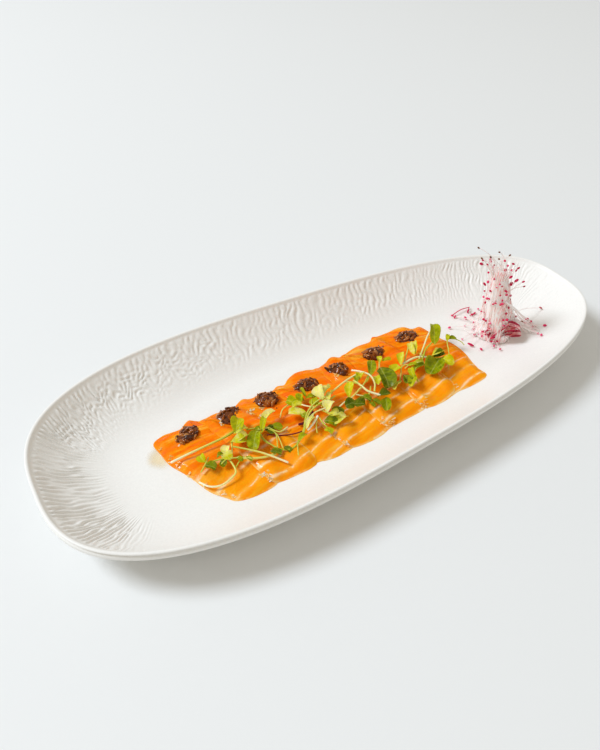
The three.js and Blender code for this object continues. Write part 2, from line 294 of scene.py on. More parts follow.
# %% Ovals and wall
RIM = dict(half_length=191.5, half_width=76.7, wide=2.6, narrow=3.15, side=2.8, taper=-0.166)
WELL = dict(half_length=134.0, half_width=38.5, wide=2.6, narrow=2.5, side=2.6, taper=-0.12)
RIM_HEIGHT = 32.0
WELL_HEIGHT = 7.0
WALL_RISE = 24.0
WALL_POWER = 1.85  # how late the wall steepens
WALL_POWER_AT_WIDE_END = 2.6
WALL_THICKNESS = 4.5
END_FULLNESS = 3.4  # spreads points evenly round the boxy ends
HIGHEST_SHARE = 1.1  # shares are looked for a little beyond the rim
HALVINGS = 20  # each one halves the doubt about a share


def oval_between(share):
    return {key: lerp(WELL[key], RIM[key], share) for key in RIM}


def inset(oval, distance):
    smaller = {key: oval[key] - distance for key in ("half_length", "half_width")}
    return {**oval, **smaller}


def oval_points(oval, angles):
    """x and y round an oval."""
    c, s = np.cos(angles), np.sin(angles)
    u = np.sign(c) * np.abs(c) ** (2 / END_FULLNESS)
    power = lerp(oval["wide"], oval["narrow"], (u + 1) / 2)
    v = np.sign(s) * (1 - np.abs(u) ** power).clip(0) ** (1 / oval["side"])
    return np.stack([oval["half_length"] * u, oval["half_width"] * v * (1 + oval["taper"] * u)], 1)


def wall_power(x):
    return lerp(WALL_POWER_AT_WIDE_END, WALL_POWER, smoothstep(-170, -90, x))


def wall_height(share, x):
    return WELL_HEIGHT + WALL_RISE * np.clip(share, 0, None) ** wall_power(x)


def wall_share(x, y):
    """How far up the inner wall each point lies, from 0 in the well to 1 at the rim."""
    low, high = np.zeros_like(x, float), np.full_like(x, HIGHEST_SHARE, float)
    for _ in range(HALVINGS):
        middle = (low + high) / 2
        oval = oval_between(middle)
        u = x / oval["half_length"]
        v = y / (oval["half_width"] * (1 + oval["taper"] * u))
        power = lerp(oval["wide"], oval["narrow"], (np.clip(u, -1, 1) + 1) / 2)
        inside = np.abs(u) ** power + np.abs(v) ** oval["side"] < 1
        high = np.where(inside, middle, high)
        low = np.where(inside, low, middle)
    return high


def plate_height(x, y):
    return wall_height(wall_share(np.asarray(x, float), np.asarray(y, float)), x)


print("well at", plate_height(0.0, 0.0).round(1), "mm")
print("wall 10 mm inside the rim at", plate_height(0.0, RIM["half_width"] - 10).round(1), "mm")

# %% [markdown]
# ## Columns that run straight up the wall
#
# The inner wall's relief runs up and down the wall, so the mesh is laid out the same way. Lines
# drawn at equal angles in every oval would slant. Water running down the wall would not: its
# path is always square to the level lines. Each column of points is such a path. It starts at
# the rim and takes small steps down the slope, which the change of `wall_share` gives.

# %% Columns
COLUMNS = 1440  # paths down the wall
STATIONS = 64  # points on each, about 0.6 mm apart
RELIEF_FROM, RELIEF_TO = 0.18, 0.975  # shares of the wall that the fine mesh covers
CLOSER_AT_WIDE_END = 0.6  # how much closer the paths lie there


def rim_angles(count):
    """Angles whose points are evenly spaced round the rim, but closer at the wide end."""
    fine = np.linspace(0, 2 * np.pi, 40001)
    ring = oval_points(RIM, fine)
    steps = np.hypot(*np.diff(ring, axis=0).T)
    closeness = 1 + CLOSER_AT_WIDE_END * smoothstep(-110, -175, (ring[1:, 0] + ring[:-1, 0]) / 2)
    travelled = np.concatenate([[0], np.cumsum(steps * closeness)])
    return np.interp(np.arange(count) / count * travelled[-1], travelled, fine)


def share_slope(xy):
    """Direction and steepness in which the wall's share grows."""
    reach = 0.4
    x, y = xy.T
    east = wall_share(x + reach, y) - wall_share(x - reach, y)
    north = wall_share(x, y + reach) - wall_share(x, y - reach)
    return np.stack([east, north], 1) / (2 * reach)


def paths_down(start, shares):
    """Points square to the level lines, from the rim to each of the falling shares."""
    xy, here, rings = start, 1.0, []
    for share in shares:
        for _ in range(2):
            slope = share_slope(xy)
            xy = xy + slope * ((share - here) / (slope ** 2).sum(1))[:, None]
            here = wall_share(*xy.T)
        rings.append(xy)
    return np.stack(rings)


rim_turns = rim_angles(COLUMNS)
rim_ring = oval_points(RIM, rim_turns)
wall_shares = np.linspace(RELIEF_TO, RELIEF_FROM, STATIONS)
wall_rings = paths_down(rim_ring, wall_shares)
print("columns", COLUMNS, "spaced", np.hypot(*(rim_ring[1] - rim_ring[0])).round(2), "mm at the narrow end")

# %% [markdown]
# ## The relief on the wall
#
# The relief looks like bark or coral: short ridges that run up the wall, fork and join. It could
# be drawn with a bump map, but then the glaze would have no real highlights at a low angle, so
# it is moved in the mesh. Such a pattern is noise with only one wave length in it: white noise
# is filtered so that just the waves of the ridges' spacing, running roughly across them, are
# left. Its lines are then bent by a slow noise, because a filter alone looks too orderly, and a
# soft threshold turns waves into broad ridges with narrow grooves. In one corner the waves run
# every way, and the ridges close up into a net. The relief is deepest at the wide end, half as
# deep along the far side and round the narrow end, and hardly there on the near side.

# %% Relief
RIDGE_PITCH = {"side": 6.4, "wide end": 7.2, "narrow end": 4.2}  # in columns
RIDGE_STATIONS = {"side": 12.0, "wide end": 20.0, "narrow end": 16.0}  # how long a ridge runs
NET_PITCH = 5.6  # size of the net's cells in columns and stations
NET_SPREAD = 0.26
NET_FLATTER = 0.35  # how much shallower the net is than ridges
RELIEF_DEPTH = 0.40  # from the middle to a ridge's top, in mm
BEND_COLUMNS, BEND_STATIONS = 1.2, 3.0
# Depth of the ridges along the far side: places along the plate, and a factor at each.
FAR_SIDE_PLACES = (-175, -150, -60, 30, 100, 165)
FAR_SIDE_DEPTHS = (1.7, 1.2, 0.86, 0.8, 0.7, 0.8)
NEAR_SIDE_DEPTHS = (1.5, 0.04)  # at the wide end and beyond it
RIDGE_STEEPNESS = 1.25
GROOVE_NARROWING = 0.3  # makes ridges broader than the grooves between
rng = np.random.default_rng(7)


def one_wave(columns, stations, keep):
    """Noise with only the waves that keep lets through, scaled to a spread of 1."""
    noise = rng.standard_normal((columns, stations * 2))
    around = np.abs(np.fft.fftfreq(columns))[:, None]
    upward = np.abs(np.fft.fftfreq(stations * 2))[None, :]
    field = np.fft.ifft2(np.fft.fft2(noise) * keep(around, upward)).real[:, :stations]
    return field / field.std()


def slow(columns_long, stations_long):
    """Noise with only the waves that are about this long or longer."""
    return one_wave(COLUMNS, STATIONS, lambda around, upward: np.exp(
        -(around * columns_long) ** 2 - (upward * stations_long) ** 2))


def bent(field):
    """The field with its lines pushed about by slow noise."""
    column = np.arange(COLUMNS)[:, None] + BEND_COLUMNS * slow(22, 16)
    station = np.clip(np.arange(STATIONS)[None, :] + BEND_STATIONS * slow(14, 22), 0, STATIONS - 1.001)
    i, j = np.floor(column).astype(int), station.astype(int)
    s, t = column - i, station - j
    near = lerp(field[i % COLUMNS, j], field[i % COLUMNS, j + 1], t)
    return lerp(near, lerp(field[(i + 1) % COLUMNS, j], field[(i + 1) % COLUMNS, j + 1], t), s)


def ridges(where, spread):
    """Ridges that run up the wall. A wider spread mixes more pitches."""
    return bent(one_wave(COLUMNS, STATIONS, lambda around, upward: np.exp(
        -((around * RIDGE_PITCH[where] - 1) / spread) ** 2 - (upward * RIDGE_STATIONS[where]) ** 2)))


net = bent(one_wave(COLUMNS, STATIONS, lambda around, upward: np.exp(
    -((np.hypot(around, upward) * NET_PITCH - 1) / NET_SPREAD) ** 2)))
rim_x, rim_y = rim_ring.T
corner = smoothstep(-184, -172, rim_x) * smoothstep(-30, -85, rim_x) * smoothstep(15, 40, rim_y)
corner = corner[:, None] * smoothstep(0.97, 0.8, wall_shares)
narrow_end = smoothstep(60, 150, rim_x)
wide_end = smoothstep(-95, -150, rim_x)
wave = lerp(ridges("side", 0.36), ridges("wide end", 0.26), wide_end[:, None])
wave = lerp(wave, ridges("narrow end", 0.4), narrow_end[:, None])
wave = lerp(wave, net, corner)
far_side = np.interp(rim_x, FAR_SIDE_PLACES, FAR_SIDE_DEPTHS)
near_side = lerp(*NEAR_SIDE_DEPTHS, smoothstep(-187, -155, rim_x))
pressed = lerp(near_side, far_side, smoothstep(-45, 20, rim_y)) * (1 - 0.4 * smoothstep(172, 190, rim_x))
pressed = pressed[:, None] * np.clip(1 + 0.22 * slow(60, 30), 0.4, 1.5)
pressed *= 1 - NET_FLATTER * corner
relief = pressed * np.tanh(RIDGE_STEEPNESS * (wave + GROOVE_NARROWING))
print("relief grid:", relief.shape, "mean", relief.mean().round(2))

# %% [markdown]
# ## The plate's mesh
#
# The well, the outside and the foot are smooth, so they use every fourth column only, and one
# ring of triangles joins the fine part to each coarse part. The lip is a small rounded top and
# an upright outer face, with a groove cut in between them: its shadow parts two thin bright
# lines. The relief ends below the lip and fades out towards the well.

# %% Plate mesh
COARSE = 4
# The lip's section from the inner wall over its top: how far outside the rim's oval, and how
# far below the top.
LIP = ((-0.6, 1.55), (-0.35, 1.12), (-0.1, 0.72), (0.15, 0.4), (0.5, 0.14), (0.9, 0.02), (1.3, 0.0),
       (1.7, 0.1), (2.0, 0.38), (2.12, 0.75), (2.0, 1.0), (1.3, 1.2), (0.95, 1.6),
       (1.1, 2.1), (1.8, 2.5), (2.15, 3.0), (2.28, 3.8), (2.28, 4.5), (2.2, 5.0), (1.9, 5.4), (1.3, 5.6))
# The foot's section: how far inside the well's oval, and its height.
FOOT = ((4.0, 2.6), (5.0, 1.4), (5.4, 0.35), (6.2, 0.0), (9.0, 0.0), (9.8, 0.4), (10.2, 1.6), (11.2, 2.5))

# Rings in the well, as shares of the innermost fine ring, and rings under the wall.
WELL_RINGS = (0.985, 0.97, 0.955, 0.94, 0.92, 0.9, 0.88, 0.86, 0.83, 0.8, 0.7, 0.5, 0.25)
OUTER_SHARES = (0.95, 0.85, 0.72, 0.58, 0.44, 0.3, 0.16, 0.05)
# The shares of the wall between which the relief grows to its full depth.
GROWS_AT_SIDES, GROWS_AT_WIDE_END = (0.26, 0.62), (0.28, 0.7)


def outward_of(ring):
    """Unit vectors pointing out of a closed ring of points."""
    along = np.roll(ring, -1, axis=0) - np.roll(ring, 1, axis=0)
    along /= np.hypot(*along.T)[:, None]
    return np.stack([along[:, 1], -along[:, 0]], 1)


def level_loop(ring, height):
    return np.column_stack([ring, np.full(len(ring), height)])


def loop_at(ring, height_of, share):
    """A loop of the wall, which need not be level."""
    return np.column_stack([ring, height_of(share, ring[:, 0])])


def join_rings(fine_first, fine_count, coarse_first, coarse_count, flip):
    """Triangles between a fine ring and a coarse one."""
    ratio = fine_count // coarse_count
    faces = []
    for k in range(coarse_count):
        here, after = coarse_first + k, coarse_first + (k + 1) % coarse_count
        for step in range(ratio):
            a = fine_first + k * ratio + step
            b = fine_first + (k * ratio + step + 1) % fine_count
            faces.append((a, here if step < ratio // 2 else after, b))
        middle = fine_first + k * ratio + ratio // 2
        faces.append((middle, here, after))
    return [face[::-1] for face in faces] if flip else faces


def wall_underside(share, x):
    power = wall_power(x)
    slope = WALL_RISE * power * share ** (power - 1) / (RIM["half_width"] - WELL["half_width"])
    return wall_height(share, x) - WALL_THICKNESS * np.hypot(1, slope)


def plate_shape():
    wall = np.stack([loop_at(ring, wall_height, s) for ring, s in zip(wall_rings, wall_shares)])
    across = np.roll(wall, -1, axis=1) - np.roll(wall, 1, axis=1)
    up = np.gradient(wall, axis=0)
    normal = np.cross(across, up)
    normal /= np.linalg.norm(normal, axis=2)[..., None]
    normal *= np.sign(normal[..., 2:])
    at_sides = smoothstep(*GROWS_AT_SIDES, wall_shares)
    at_wide_end = smoothstep(*GROWS_AT_WIDE_END, wall_shares)
    strength = lerp(at_sides[:, None], at_wide_end[:, None], wide_end[None])
    strength *= 1 - smoothstep(0.95, RELIEF_TO, wall_shares)[:, None]
    wall += normal * (RELIEF_DEPTH * strength * relief.T)[..., None]

    rim_out = outward_of(rim_ring)
    lip = [level_loop(rim_ring + rim_out * outward, RIM_HEIGHT - below) for outward, below in LIP]
    fine = np.concatenate([wall[::-1], np.stack(lip)])

    last_fine = wall_rings[-1][::COARSE]
    inner = []
    for share in WELL_RINGS:
        ring = last_fine * share
        inner.append(np.column_stack([ring, plate_height(*ring.T)]))
    coarse_turns = rim_turns[::COARSE]
    outer = [loop_at(oval_points(oval_between(s), coarse_turns), wall_underside, s) for s in OUTER_SHARES]
    outer += [level_loop(oval_points(inset(WELL, d), coarse_turns), z) for d, z in FOOT]

    points = np.concatenate([fine.reshape(-1, 3), np.concatenate(inner), np.concatenate(outer),
                             [[0, 0, WELL_HEIGHT], [0, 0, FOOT[-1][1]]]])
    coarse = COLUMNS // COARSE
    inner_first = fine.shape[0] * COLUMNS
    outer_first = inner_first + len(inner) * coarse
    top_middle = outer_first + len(outer) * coarse
    faces = [f[::-1] for f in loft_faces(fine.shape[0], COLUMNS)]
    faces += join_rings(0, COLUMNS, inner_first, coarse, flip=False)
    faces += loft_faces(len(inner), coarse, inner_first)
    faces += join_rings((fine.shape[0] - 1) * COLUMNS, COLUMNS, outer_first, coarse, flip=True)
    faces += [f[::-1] for f in loft_faces(len(outer), coarse, outer_first)]
    last_inner, last_outer = inner_first + (len(inner) - 1) * coarse, top_middle - coarse
    for k in range(coarse):
        after = (k + 1) % coarse
        faces.append((top_middle, last_inner + k, last_inner + after))
        faces.append((top_middle + 1, last_outer + after, last_outer + k))
    return {"points": points, "faces": faces}


# %% [markdown]
# ## The look of glazed porcelain
#
# Porcelain is fired clay under a skin of glass. White paint would do from afar, but the glass
# gives the relief its soft glints. Two things keep it from looking like plastic: the body is a
# warm white with a trace of speckle, and the glaze is slightly uneven, like the peel of an
# orange, because it flowed while it melted.

# %% Glaze
porcelain, tree = new_material("glazed_porcelain")
# A satin glaze: a warm white body, and a thin glass skin that is slightly dull, so windows show
# in it as soft patches. Speckle of about a millimetre, orange peel of about three.
place = node(tree, "TexCoord").outputs["Object"]
speckle = node(tree, "TexNoise", Vector=place, Scale=900.0, Detail=3.0)
body_tone = node(tree, "ValToRGB", {"stops": [(0.35, "#F2EFE9"), (0.65, "#F6F3ED")]}, Fac=speckle)
orange_peel = node(tree, "TexNoise", Vector=place, Scale=350.0, Detail=1.0)
bump = node(tree, "Bump", Strength=0.05, Distance=0.0004, Height=orange_peel)
glaze = node(tree, "BsdfPrincipled", Base_Color=body_tone, Roughness=0.38, IOR=1.5, Normal=bump,
             Specular_IOR_Level=0.3)
node(tree, "OutputMaterial", Surface=glaze)

make_piece("porcelain_plate", plate_shape(), porcelain, ["plate"])

# %% [markdown]
# ## Places in the strip of food
#
# The food was laid a little off the plate's middle, so its places are counted from the strip's
# own middle and shifted once. A sprig that stands above the fish is noted by the spot of fish
# that it hides from the camera's seat, and is then lifted along the line towards the eye: so
# the layout stays as it is seen, whatever height each leaf has.

# %% Places
STRIP_MIDDLE = np.array([-2.4, -1.9])
FISH_TOP = 9.5  # usual height of the fish above the table
STEPS_BETWEEN = 12  # points that a curve gets between two given ones


def laid(points):
    """Points of the strip on the plate."""
    return np.asarray(points, float) + STRIP_MIDDLE


def toward_eye(point):
    """Unit vector from a point to the camera's seat."""
    return (EYE - point) / np.linalg.norm(EYE - point)


def lifted(points):
    """Points over the fish: x and y of the spot that each hides, and its height above it."""
    points = np.asarray(points, float)
    spot = np.column_stack([laid(points[:, :2]), np.full(len(points), FISH_TOP)])
    return spot + (EYE - spot) * (points[:, 2:] / (EYE[2] - FISH_TOP))


def evenly(curve, count, closed):
    """A curve as evenly spaced points."""
    if closed:
        curve = np.concatenate([curve, curve[:1]])
    travelled = np.concatenate([[0], np.cumsum(np.linalg.norm(np.diff(curve, axis=0), axis=1))])
    stops = np.linspace(0, travelled[-1], count, endpoint=not closed)
    return np.stack([np.interp(stops, travelled, axis) for axis in curve.T], 1)


def smooth_curve(points, count, closed=False):
    """A smooth curve through points (Catmull and Rom's spline)."""
    points = np.asarray(points, float)
    if closed:
        a, b, c, d = (np.roll(points, k, axis=0)[:, None] for k in (1, 0, -1, -2))
    else:
        ends = np.concatenate([2 * points[:1] - points[1:2], points, 2 * points[-1:] - points[-2:-1]])
        a, b, c, d = (ends[k:len(ends) - 3 + k][:, None] for k in range(4))
    t = np.linspace(0, 1, STEPS_BETWEEN, endpoint=False)[None, :, None]
    curve = b + (c - a) * t / 2 + (2 * a - 5 * b + 4 * c - d) * t ** 2 / 2
    curve = curve + (3 * (b - c) + d - a) * t ** 3 / 2
    curve = curve.reshape(-1, points.shape[1])
    if not closed:
        curve = np.concatenate([curve, points[-1:]])
    return evenly(curve, count, closed)


print("strip's middle on the plate:", STRIP_MIDDLE, "mm")

# %% [markdown]
# ## A map of heights under the food
#
# Soft slices follow what lies under them. The simplest way to lay one on another is a map: a
# grid over the well whose cells hold the height of the uppermost thing there. A slice's
# underside is that map, widened and blurred, because flesh bends gently over a step. Its upper
# side is a thickness higher, and becomes the map for the next slice.

# %% Height map
CELL = 0.5
GRID_X = np.arange(-136.0, 110.0, CELL)
GRID_Y = np.arange(-60.0, 48.0, CELL)
grid_x, grid_y = np.meshgrid(GRID_X, GRID_Y, indexing="ij")


def read_map(field, xy):
    """Values of a map at any points, blended between its cells."""
    fx = np.clip((xy[:, 0] - GRID_X[0]) / CELL, 0, len(GRID_X) - 1.001)
    fy = np.clip((xy[:, 1] - GRID_Y[0]) / CELL, 0, len(GRID_Y) - 1.001)
    i, j = fx.astype(int), fy.astype(int)
    s, t = fx - i, fy - j
    left = lerp(field[i, j], field[i, j + 1], t)
    return lerp(left, lerp(field[i + 1, j], field[i + 1, j + 1], t), s)


def blurred(field, reach):
    """A map blurred over a reach in mm."""
    pad = int(4 * reach / CELL)
    wide = np.pad(field, pad, mode="edge")
    waves = np.exp(-2 * (np.pi * reach / CELL) ** 2 * (
        np.fft.fftfreq(wide.shape[0])[:, None] ** 2 + np.fft.fftfreq(wide.shape[1])[None, :] ** 2))
    return np.fft.ifft2(np.fft.fft2(wide) * waves).real[pad:-pad, pad:-pad]


def widened(field, reach):
    """A map in which each high part spreads by a reach in mm."""
    for _ in range(int(reach / CELL)):
        field = np.maximum.reduce([np.roll(field, (i, j), (0, 1)) for i in (-1, 0, 1) for j in (-1, 0, 1)])
    return field


def soft_noise(size):
    """A map of smooth random hills of about a size in mm, scaled to a spread of 1."""
    field = blurred(rng.standard_normal(grid_x.shape), size / 4)
    return (field - field.mean()) / field.std()


def distance_in(outline, x, y):
    """Distance in from a closed outline, negative outside it."""
    nearest, within = np.full(x.shape, np.inf), np.zeros(x.shape, bool)
    for (ax, ay), (bx, by) in zip(outline, np.roll(outline, -1, axis=0)):
        dx, dy = bx - ax, by - ay
        along = (((x - ax) * dx + (y - ay) * dy) / (dx * dx + dy * dy)).clip(0, 1)
        nearest = np.minimum(nearest, (x - ax - along * dx) ** 2 + (y - ay - along * dy) ** 2)
        if ay != by:
            within ^= ((ay > y) != (by > y)) & (x < ax + (y - ay) * dx / dy)
    return np.where(within, 1, -1) * np.sqrt(nearest)


plate_map = plate_height(grid_x, grid_y)
print("map of", grid_x.shape, "cells")

# %% [markdown]
# ## Seven slices of salmon
#
# A slice of carpaccio is a thin, slanting cut: about 35 by 75 mm and some 2 mm thick, soft and
# wet. Its edge thins out over 5 mm and clings to what lies below. Its outline is a smooth curve
# through a few points. Slices 1, 3 and 7 were laid first, and each other one overlaps its
# neighbours. Cloth simulation could drape them, but slices this limp simply take the shape of
# what is below them, which the map gives.
# The white lines in salmon are sheets of fat between the blocks of muscle. A cut shows them as
# nearly parallel lines 9 to 13 mm apart. Each slice has a line to start from and a spacing, and
# its points carry how many spacings they lie from that line.

# %% Slices
SLICES = {
    1: dict(fat=(-91, -38.5, -76, -31.5), apart=13.0, outline=[
        (-99, -37), (-95.5, -42.3), (-88.5, -44.8), (-80, -45), (-70, -43.2), (-63, -36),
        (-66, -15), (-72, 8), (-79, 22), (-86, 25), (-89.5, 27.5), (-92.5, 29.8), (-96, 28.3),
        (-100, 25.6), (-106, 25.8), (-112, 26), (-119.3, 22.3), (-118.5, 12), (-117, 2), (-112, -9),
        (-109, -17), (-105, -28)]),
    3: dict(fat=(-38, -31, -24, -27), apart=10.5, outline=[
        (-52, -40), (-40, -41.2), (-36, -42.6), (-30, -43.7), (-24, -43.4), (-14, -41), (-8, -30),
        (-14, -5), (-22, 15), (-29, 23), (-36, 25), (-39, 27.6), (-43, 28.6), (-46.5, 27),
        (-51, 27.2), (-55, 29.2), (-60, 27), (-63.5, 24.8), (-71, 21), (-66, -5), (-58, -28)]),
    7: dict(fat=(70, -25.5, 97, -21), apart=9.5, outline=[
        (60, -37.5), (70, -37.8), (78, -38.6), (88, -38.4), (94, -37), (97, -33.5), (96.8, -27),
        (97.5, -20), (99.3, -11), (99.5, -3), (98.3, 4), (95.5, 10), (93, 20), (91.5, 27),
        (90, 29.8), (86, 30), (83, 31.3), (80.5, 35), (75, 36.6), (68, 36.2), (62, 36.2),
        (57, 36.4), (53.8, 37.6), (50, 34), (47, 28), (52, 5), (58, -20)]),
    2: dict(fat=(-66, -37, -50, -33), apart=11.5, outline=[
        (-73.5, -36), (-71.5, -41.2), (-66, -43), (-56, -43.3), (-46, -43), (-41, -39.5),
        (-42.5, -25), (-48, -5), (-54, 8), (-58.5, 19), (-63, 24.8), (-69, 25.6), (-76, 26.6),
        (-82, 26), (-88, 25), (-86, 17), (-83.5, 6), (-79, -10), (-75.5, -26)]),
    4: dict(fat=(-14, -35, 9, -29), apart=9.8, outline=[
        (-21.5, -36), (-19.5, -40.8), (-14, -43.3), (-6, -44.2), (3, -43.6), (10, -41.5), (19, -37),
        (18, -18), (13, 8), (8, 24), (3, 29.6), (-1, 30.2), (-5, 32), (-12, 33.2), (-17, 32),
        (-21, 30), (-25, 27), (-29.5, 28.2), (-33, 26.6), (-36, 24.6), (-33.5, 14), (-29, 0),
        (-25, -18)]),
    5: dict(fat=(15, -33.5, 38, -28.5), apart=10.0, outline=[
        (8.2, -34), (9.5, -38.6), (15, -40.4), (25, -40), (34, -39.6), (41, -38.5), (49, -34),
        (46, -15), (39, 8), (31, 25), (25, 31.2), (21.5, 31.4), (18, 34.2), (14.5, 33.9),
        (10, 31.3), (5.5, 30), (2, 28), (1.5, 18), (3.2, 5), (5.8, -12)]),
    6: dict(fat=(42, -30, 65, -24), apart=11.0, outline=[
        (38.6, -32), (40.3, -36.8), (45, -39.6), (52, -40.4), (60, -39.6), (67, -36.8),
        (70.8, -31.5), (71.3, -24), (68, -8), (63, 10), (58.5, 25), (54, 34.6), (48, 34),
        (40, 34.7), (34, 34), (28, 32.4), (22.8, 31), (27, 22), (32.5, 8), (36.5, -10), (38.4, -22)]),
}
SLICE_THICKNESS = 1.9
LIP_WIDTH, LIP_SHARE = 0.6, 0.08  # of the small round lip, and its share of the thickness
EDGE_ROUNDING = 5.5  # how far in from the edge a slice has its full thickness
EDGE_CLINGS = (0.3, 3.5)  # distance in over which the underside lets go and bridges
DRAPE_WIDENING, DRAPE_BLUR = 1.0, 1.6
FOLD_HEIGHTS = (0.25, 0.6)  # of loose folds, in front and at the back
BLOCK_SWELL = 0.95  # how far a block of muscle stands up between its grooves
LINES_TURN = 0.55  # how much less the lines of fat slope at the back
LAYER_GAP = 0.03
OUTLINE_POINTS = 240
EDGE_STEPS = (0.0, 0.08, 0.25, 0.5, 0.9, 1.4, 2.0, 2.7)
INNER_RINGS = 26
UNDER_RINGS = 6

# %% A slice's shape
def slice_thickness(distance):
    """A small round lip at the cut edge, then a long gentle swell."""
    lip = np.sqrt(1 - (1 - np.clip(distance / LIP_WIDTH, 0, 1)) ** 2)
    swell = smoothstep(-0.5, EDGE_ROUNDING, distance)
    return SLICE_THICKNESS * (LIP_SHARE * lip + (1 - LIP_SHARE) * swell)


def fat_lines(cut, xy, wander):
    """How far points lie along the lines of fat, in mm, and across them, in spacings."""
    (x0, y0), (x1, y1) = laid(np.reshape(cut["fat"], (2, 2)))
    x, y = xy[..., 0] - x0, xy[..., 1] - y0
    slope = (y1 - y0) / (x1 - x0) - LINES_TURN * smoothstep(0, 58, y)
    middle = x0 + 8 - 0.25 * y
    across = y - (xy[..., 0] - middle) * slope - (middle - x0) * (y1 - y0) / (x1 - x0)
    return x + slope * y, across / np.hypot(1, slope) / cut["apart"] + 0.1 * wander


def slice_shape(number, cut, outline, under, top, wander, depth_in):
    """A closed slice between two maps, with what its material needs to know."""
    out = outward_of(outline)
    rings = [outline - out * step for step in EDGE_STEPS]
    middle = rings[-1].mean(axis=0)
    rings += [middle + (rings[-1] - middle) * (1 - (k + 1) / (INNER_RINGS + 1)) for k in range(INNER_RINGS)]
    upper = [np.column_stack([ring, read_map(top, ring)]) for ring in rings]
    for ring, step in zip(upper, EDGE_STEPS):
        if step < EDGE_ROUNDING:
            ring[:, 2] = read_map(under, ring) + slice_thickness(step)
    lower = []
    for k in range(UNDER_RINGS):
        ring = middle + (outline - middle) * (1 - (k + 0.35) / UNDER_RINGS)
        lower.append(np.column_stack([ring, read_map(under, ring)]))
    ends = np.array([[*middle, read_map(top, middle[None])[0]], [*middle, read_map(under, middle[None])[0]]])
    points = np.concatenate(upper + lower + [ends])
    count, upper_count = len(outline), len(upper)
    faces = loft_faces(upper_count, count)
    low_first = upper_count * count
    faces += [f[::-1] for f in loft_faces(len(lower), count, low_first)]
    top_end, low_end = len(points) - 2, len(points) - 1
    for k in range(count):
        after = (k + 1) % count
        faces.append((k, after, low_first + after, low_first + k)[::-1])
        faces.append((top_end, low_first - count + k, low_first - count + after))
        faces.append((low_end, low_end - 1 - count + after, low_end - 1 - count + k))
    along, across = fat_lines(cut, points[:, :2], read_map(wander, points[:, :2]))
    return {
        "points": points, "faces": faces,
        "grain": np.column_stack([along + 90 * number, across]),
        "far": smoothstep(-26, 10, points[:, 1] - STRIP_MIDDLE[1]),
        "inward": np.clip(read_map(depth_in, points[:, :2]), 0, 10),
    }


# %% Draping the slices
food_map = plate_map
grid_xy = np.stack([grid_x, grid_y], 2)
grid_far = smoothstep(-26, 10, grid_y - STRIP_MIDDLE[1])
slice_shapes = {}
for number, cut in SLICES.items():
    outline = smooth_curve(laid(cut["outline"]), OUTLINE_POINTS, closed=True)
    depth_in = distance_in(outline, grid_x, grid_y)
    wander = soft_noise(30.0)
    draped = np.maximum(blurred(widened(food_map, DRAPE_WIDENING), DRAPE_BLUR), food_map)
    draped = lerp(food_map, draped, smoothstep(*EDGE_CLINGS, depth_in))
    folds = np.clip(soft_noise(20.0), 0, 2) * lerp(*FOLD_HEIGHTS, grid_far)
    under = draped + LAYER_GAP + folds * smoothstep(1, 9, depth_in)
    count = fat_lines(cut, grid_xy, wander)[1]
    blocks = 0.5 * np.abs(np.sin(np.pi * count)) ** 0.6 + 0.25 * (1 - np.cos(2 * np.pi * count))
    blocks *= np.clip(0.85 + 0.45 * soft_noise(26.0), 0.15, 1.5) * lerp(0.62, 1.0, grid_far)
    blocks += 0.16 * soft_noise(9.0)
    top = under + slice_thickness(depth_in) + BLOCK_SWELL * blocks * smoothstep(0.6, 5, depth_in)
    slice_shapes[number] = slice_shape(number, cut, outline, under, top, wander, depth_in)
    food_map = np.where(depth_in > 0, np.maximum(top, food_map), food_map)
print("highest fish at", food_map.max().round(1), "mm")

# %% [markdown]
# ## The look of raw salmon
#
# Raw flesh is translucent: light enters it, spreads and comes out orange, so edges glow and
# shadows turn deep orange instead of grey. Principled's subsurface part does that, with a
# longer reach for red than for blue. Almost no blue comes back, so any white gloss would turn
# the flesh pink: the gloss is kept weak, and only damp patches have a wet coat. The colour runs
# in soft streaks along the fibres, with deeper patches that are strongest at the back, and it is
# golden where a front end is thin. At the very edge a pale rim is painted light: the white plate
# seen through the thin flesh. The lines of fat are drawn where a point's count of spacings is
# close to a whole number. They are broad and soft, break off here and there, and fade towards
# the back, where a darker orange along them is painted shade in the grooves between the blocks
# of muscle.

# %% Salmon
salmon, tree = new_material("raw_salmon_damp")
# Cut raw flesh: clear orange, lit from inside, with pale soft lines of fat and a damp skin.
# Its colour drifts over some 17 mm and is patchy over 7. Crumbs of a millimetre roughen it.
place = node(tree, "TexCoord").outputs["Object"]
grain = node(tree, "UVMap", {"uv_map": "grain"})
far = node(tree, "Attribute", {"attribute_name": "far"}).outputs["Fac"]
inward = node(tree, "Attribute", {"attribute_name": "inward"}).outputs["Fac"]
drift = node(tree, "TexNoise", Vector=place, Scale=60.0, Detail=3.0)
patches = node(tree, "TexNoise", Vector=place, Scale=150.0, Detail=4.0, Roughness=0.6)
crumbs = node(tree, "TexNoise", Vector=place, Scale=900.0, Detail=3.0)
# Fibres run along the lines of fat: streaks some 3 mm wide and 25 mm long.
fibre_place = node(tree, "Mapping", Vector=grain, Scale=(0.04, 2.8, 1.0))
fibres = node(tree, "TexNoise", Vector=fibre_place, Scale=1.0, Detail=4.0, Roughness=0.6, Distortion=0.3)

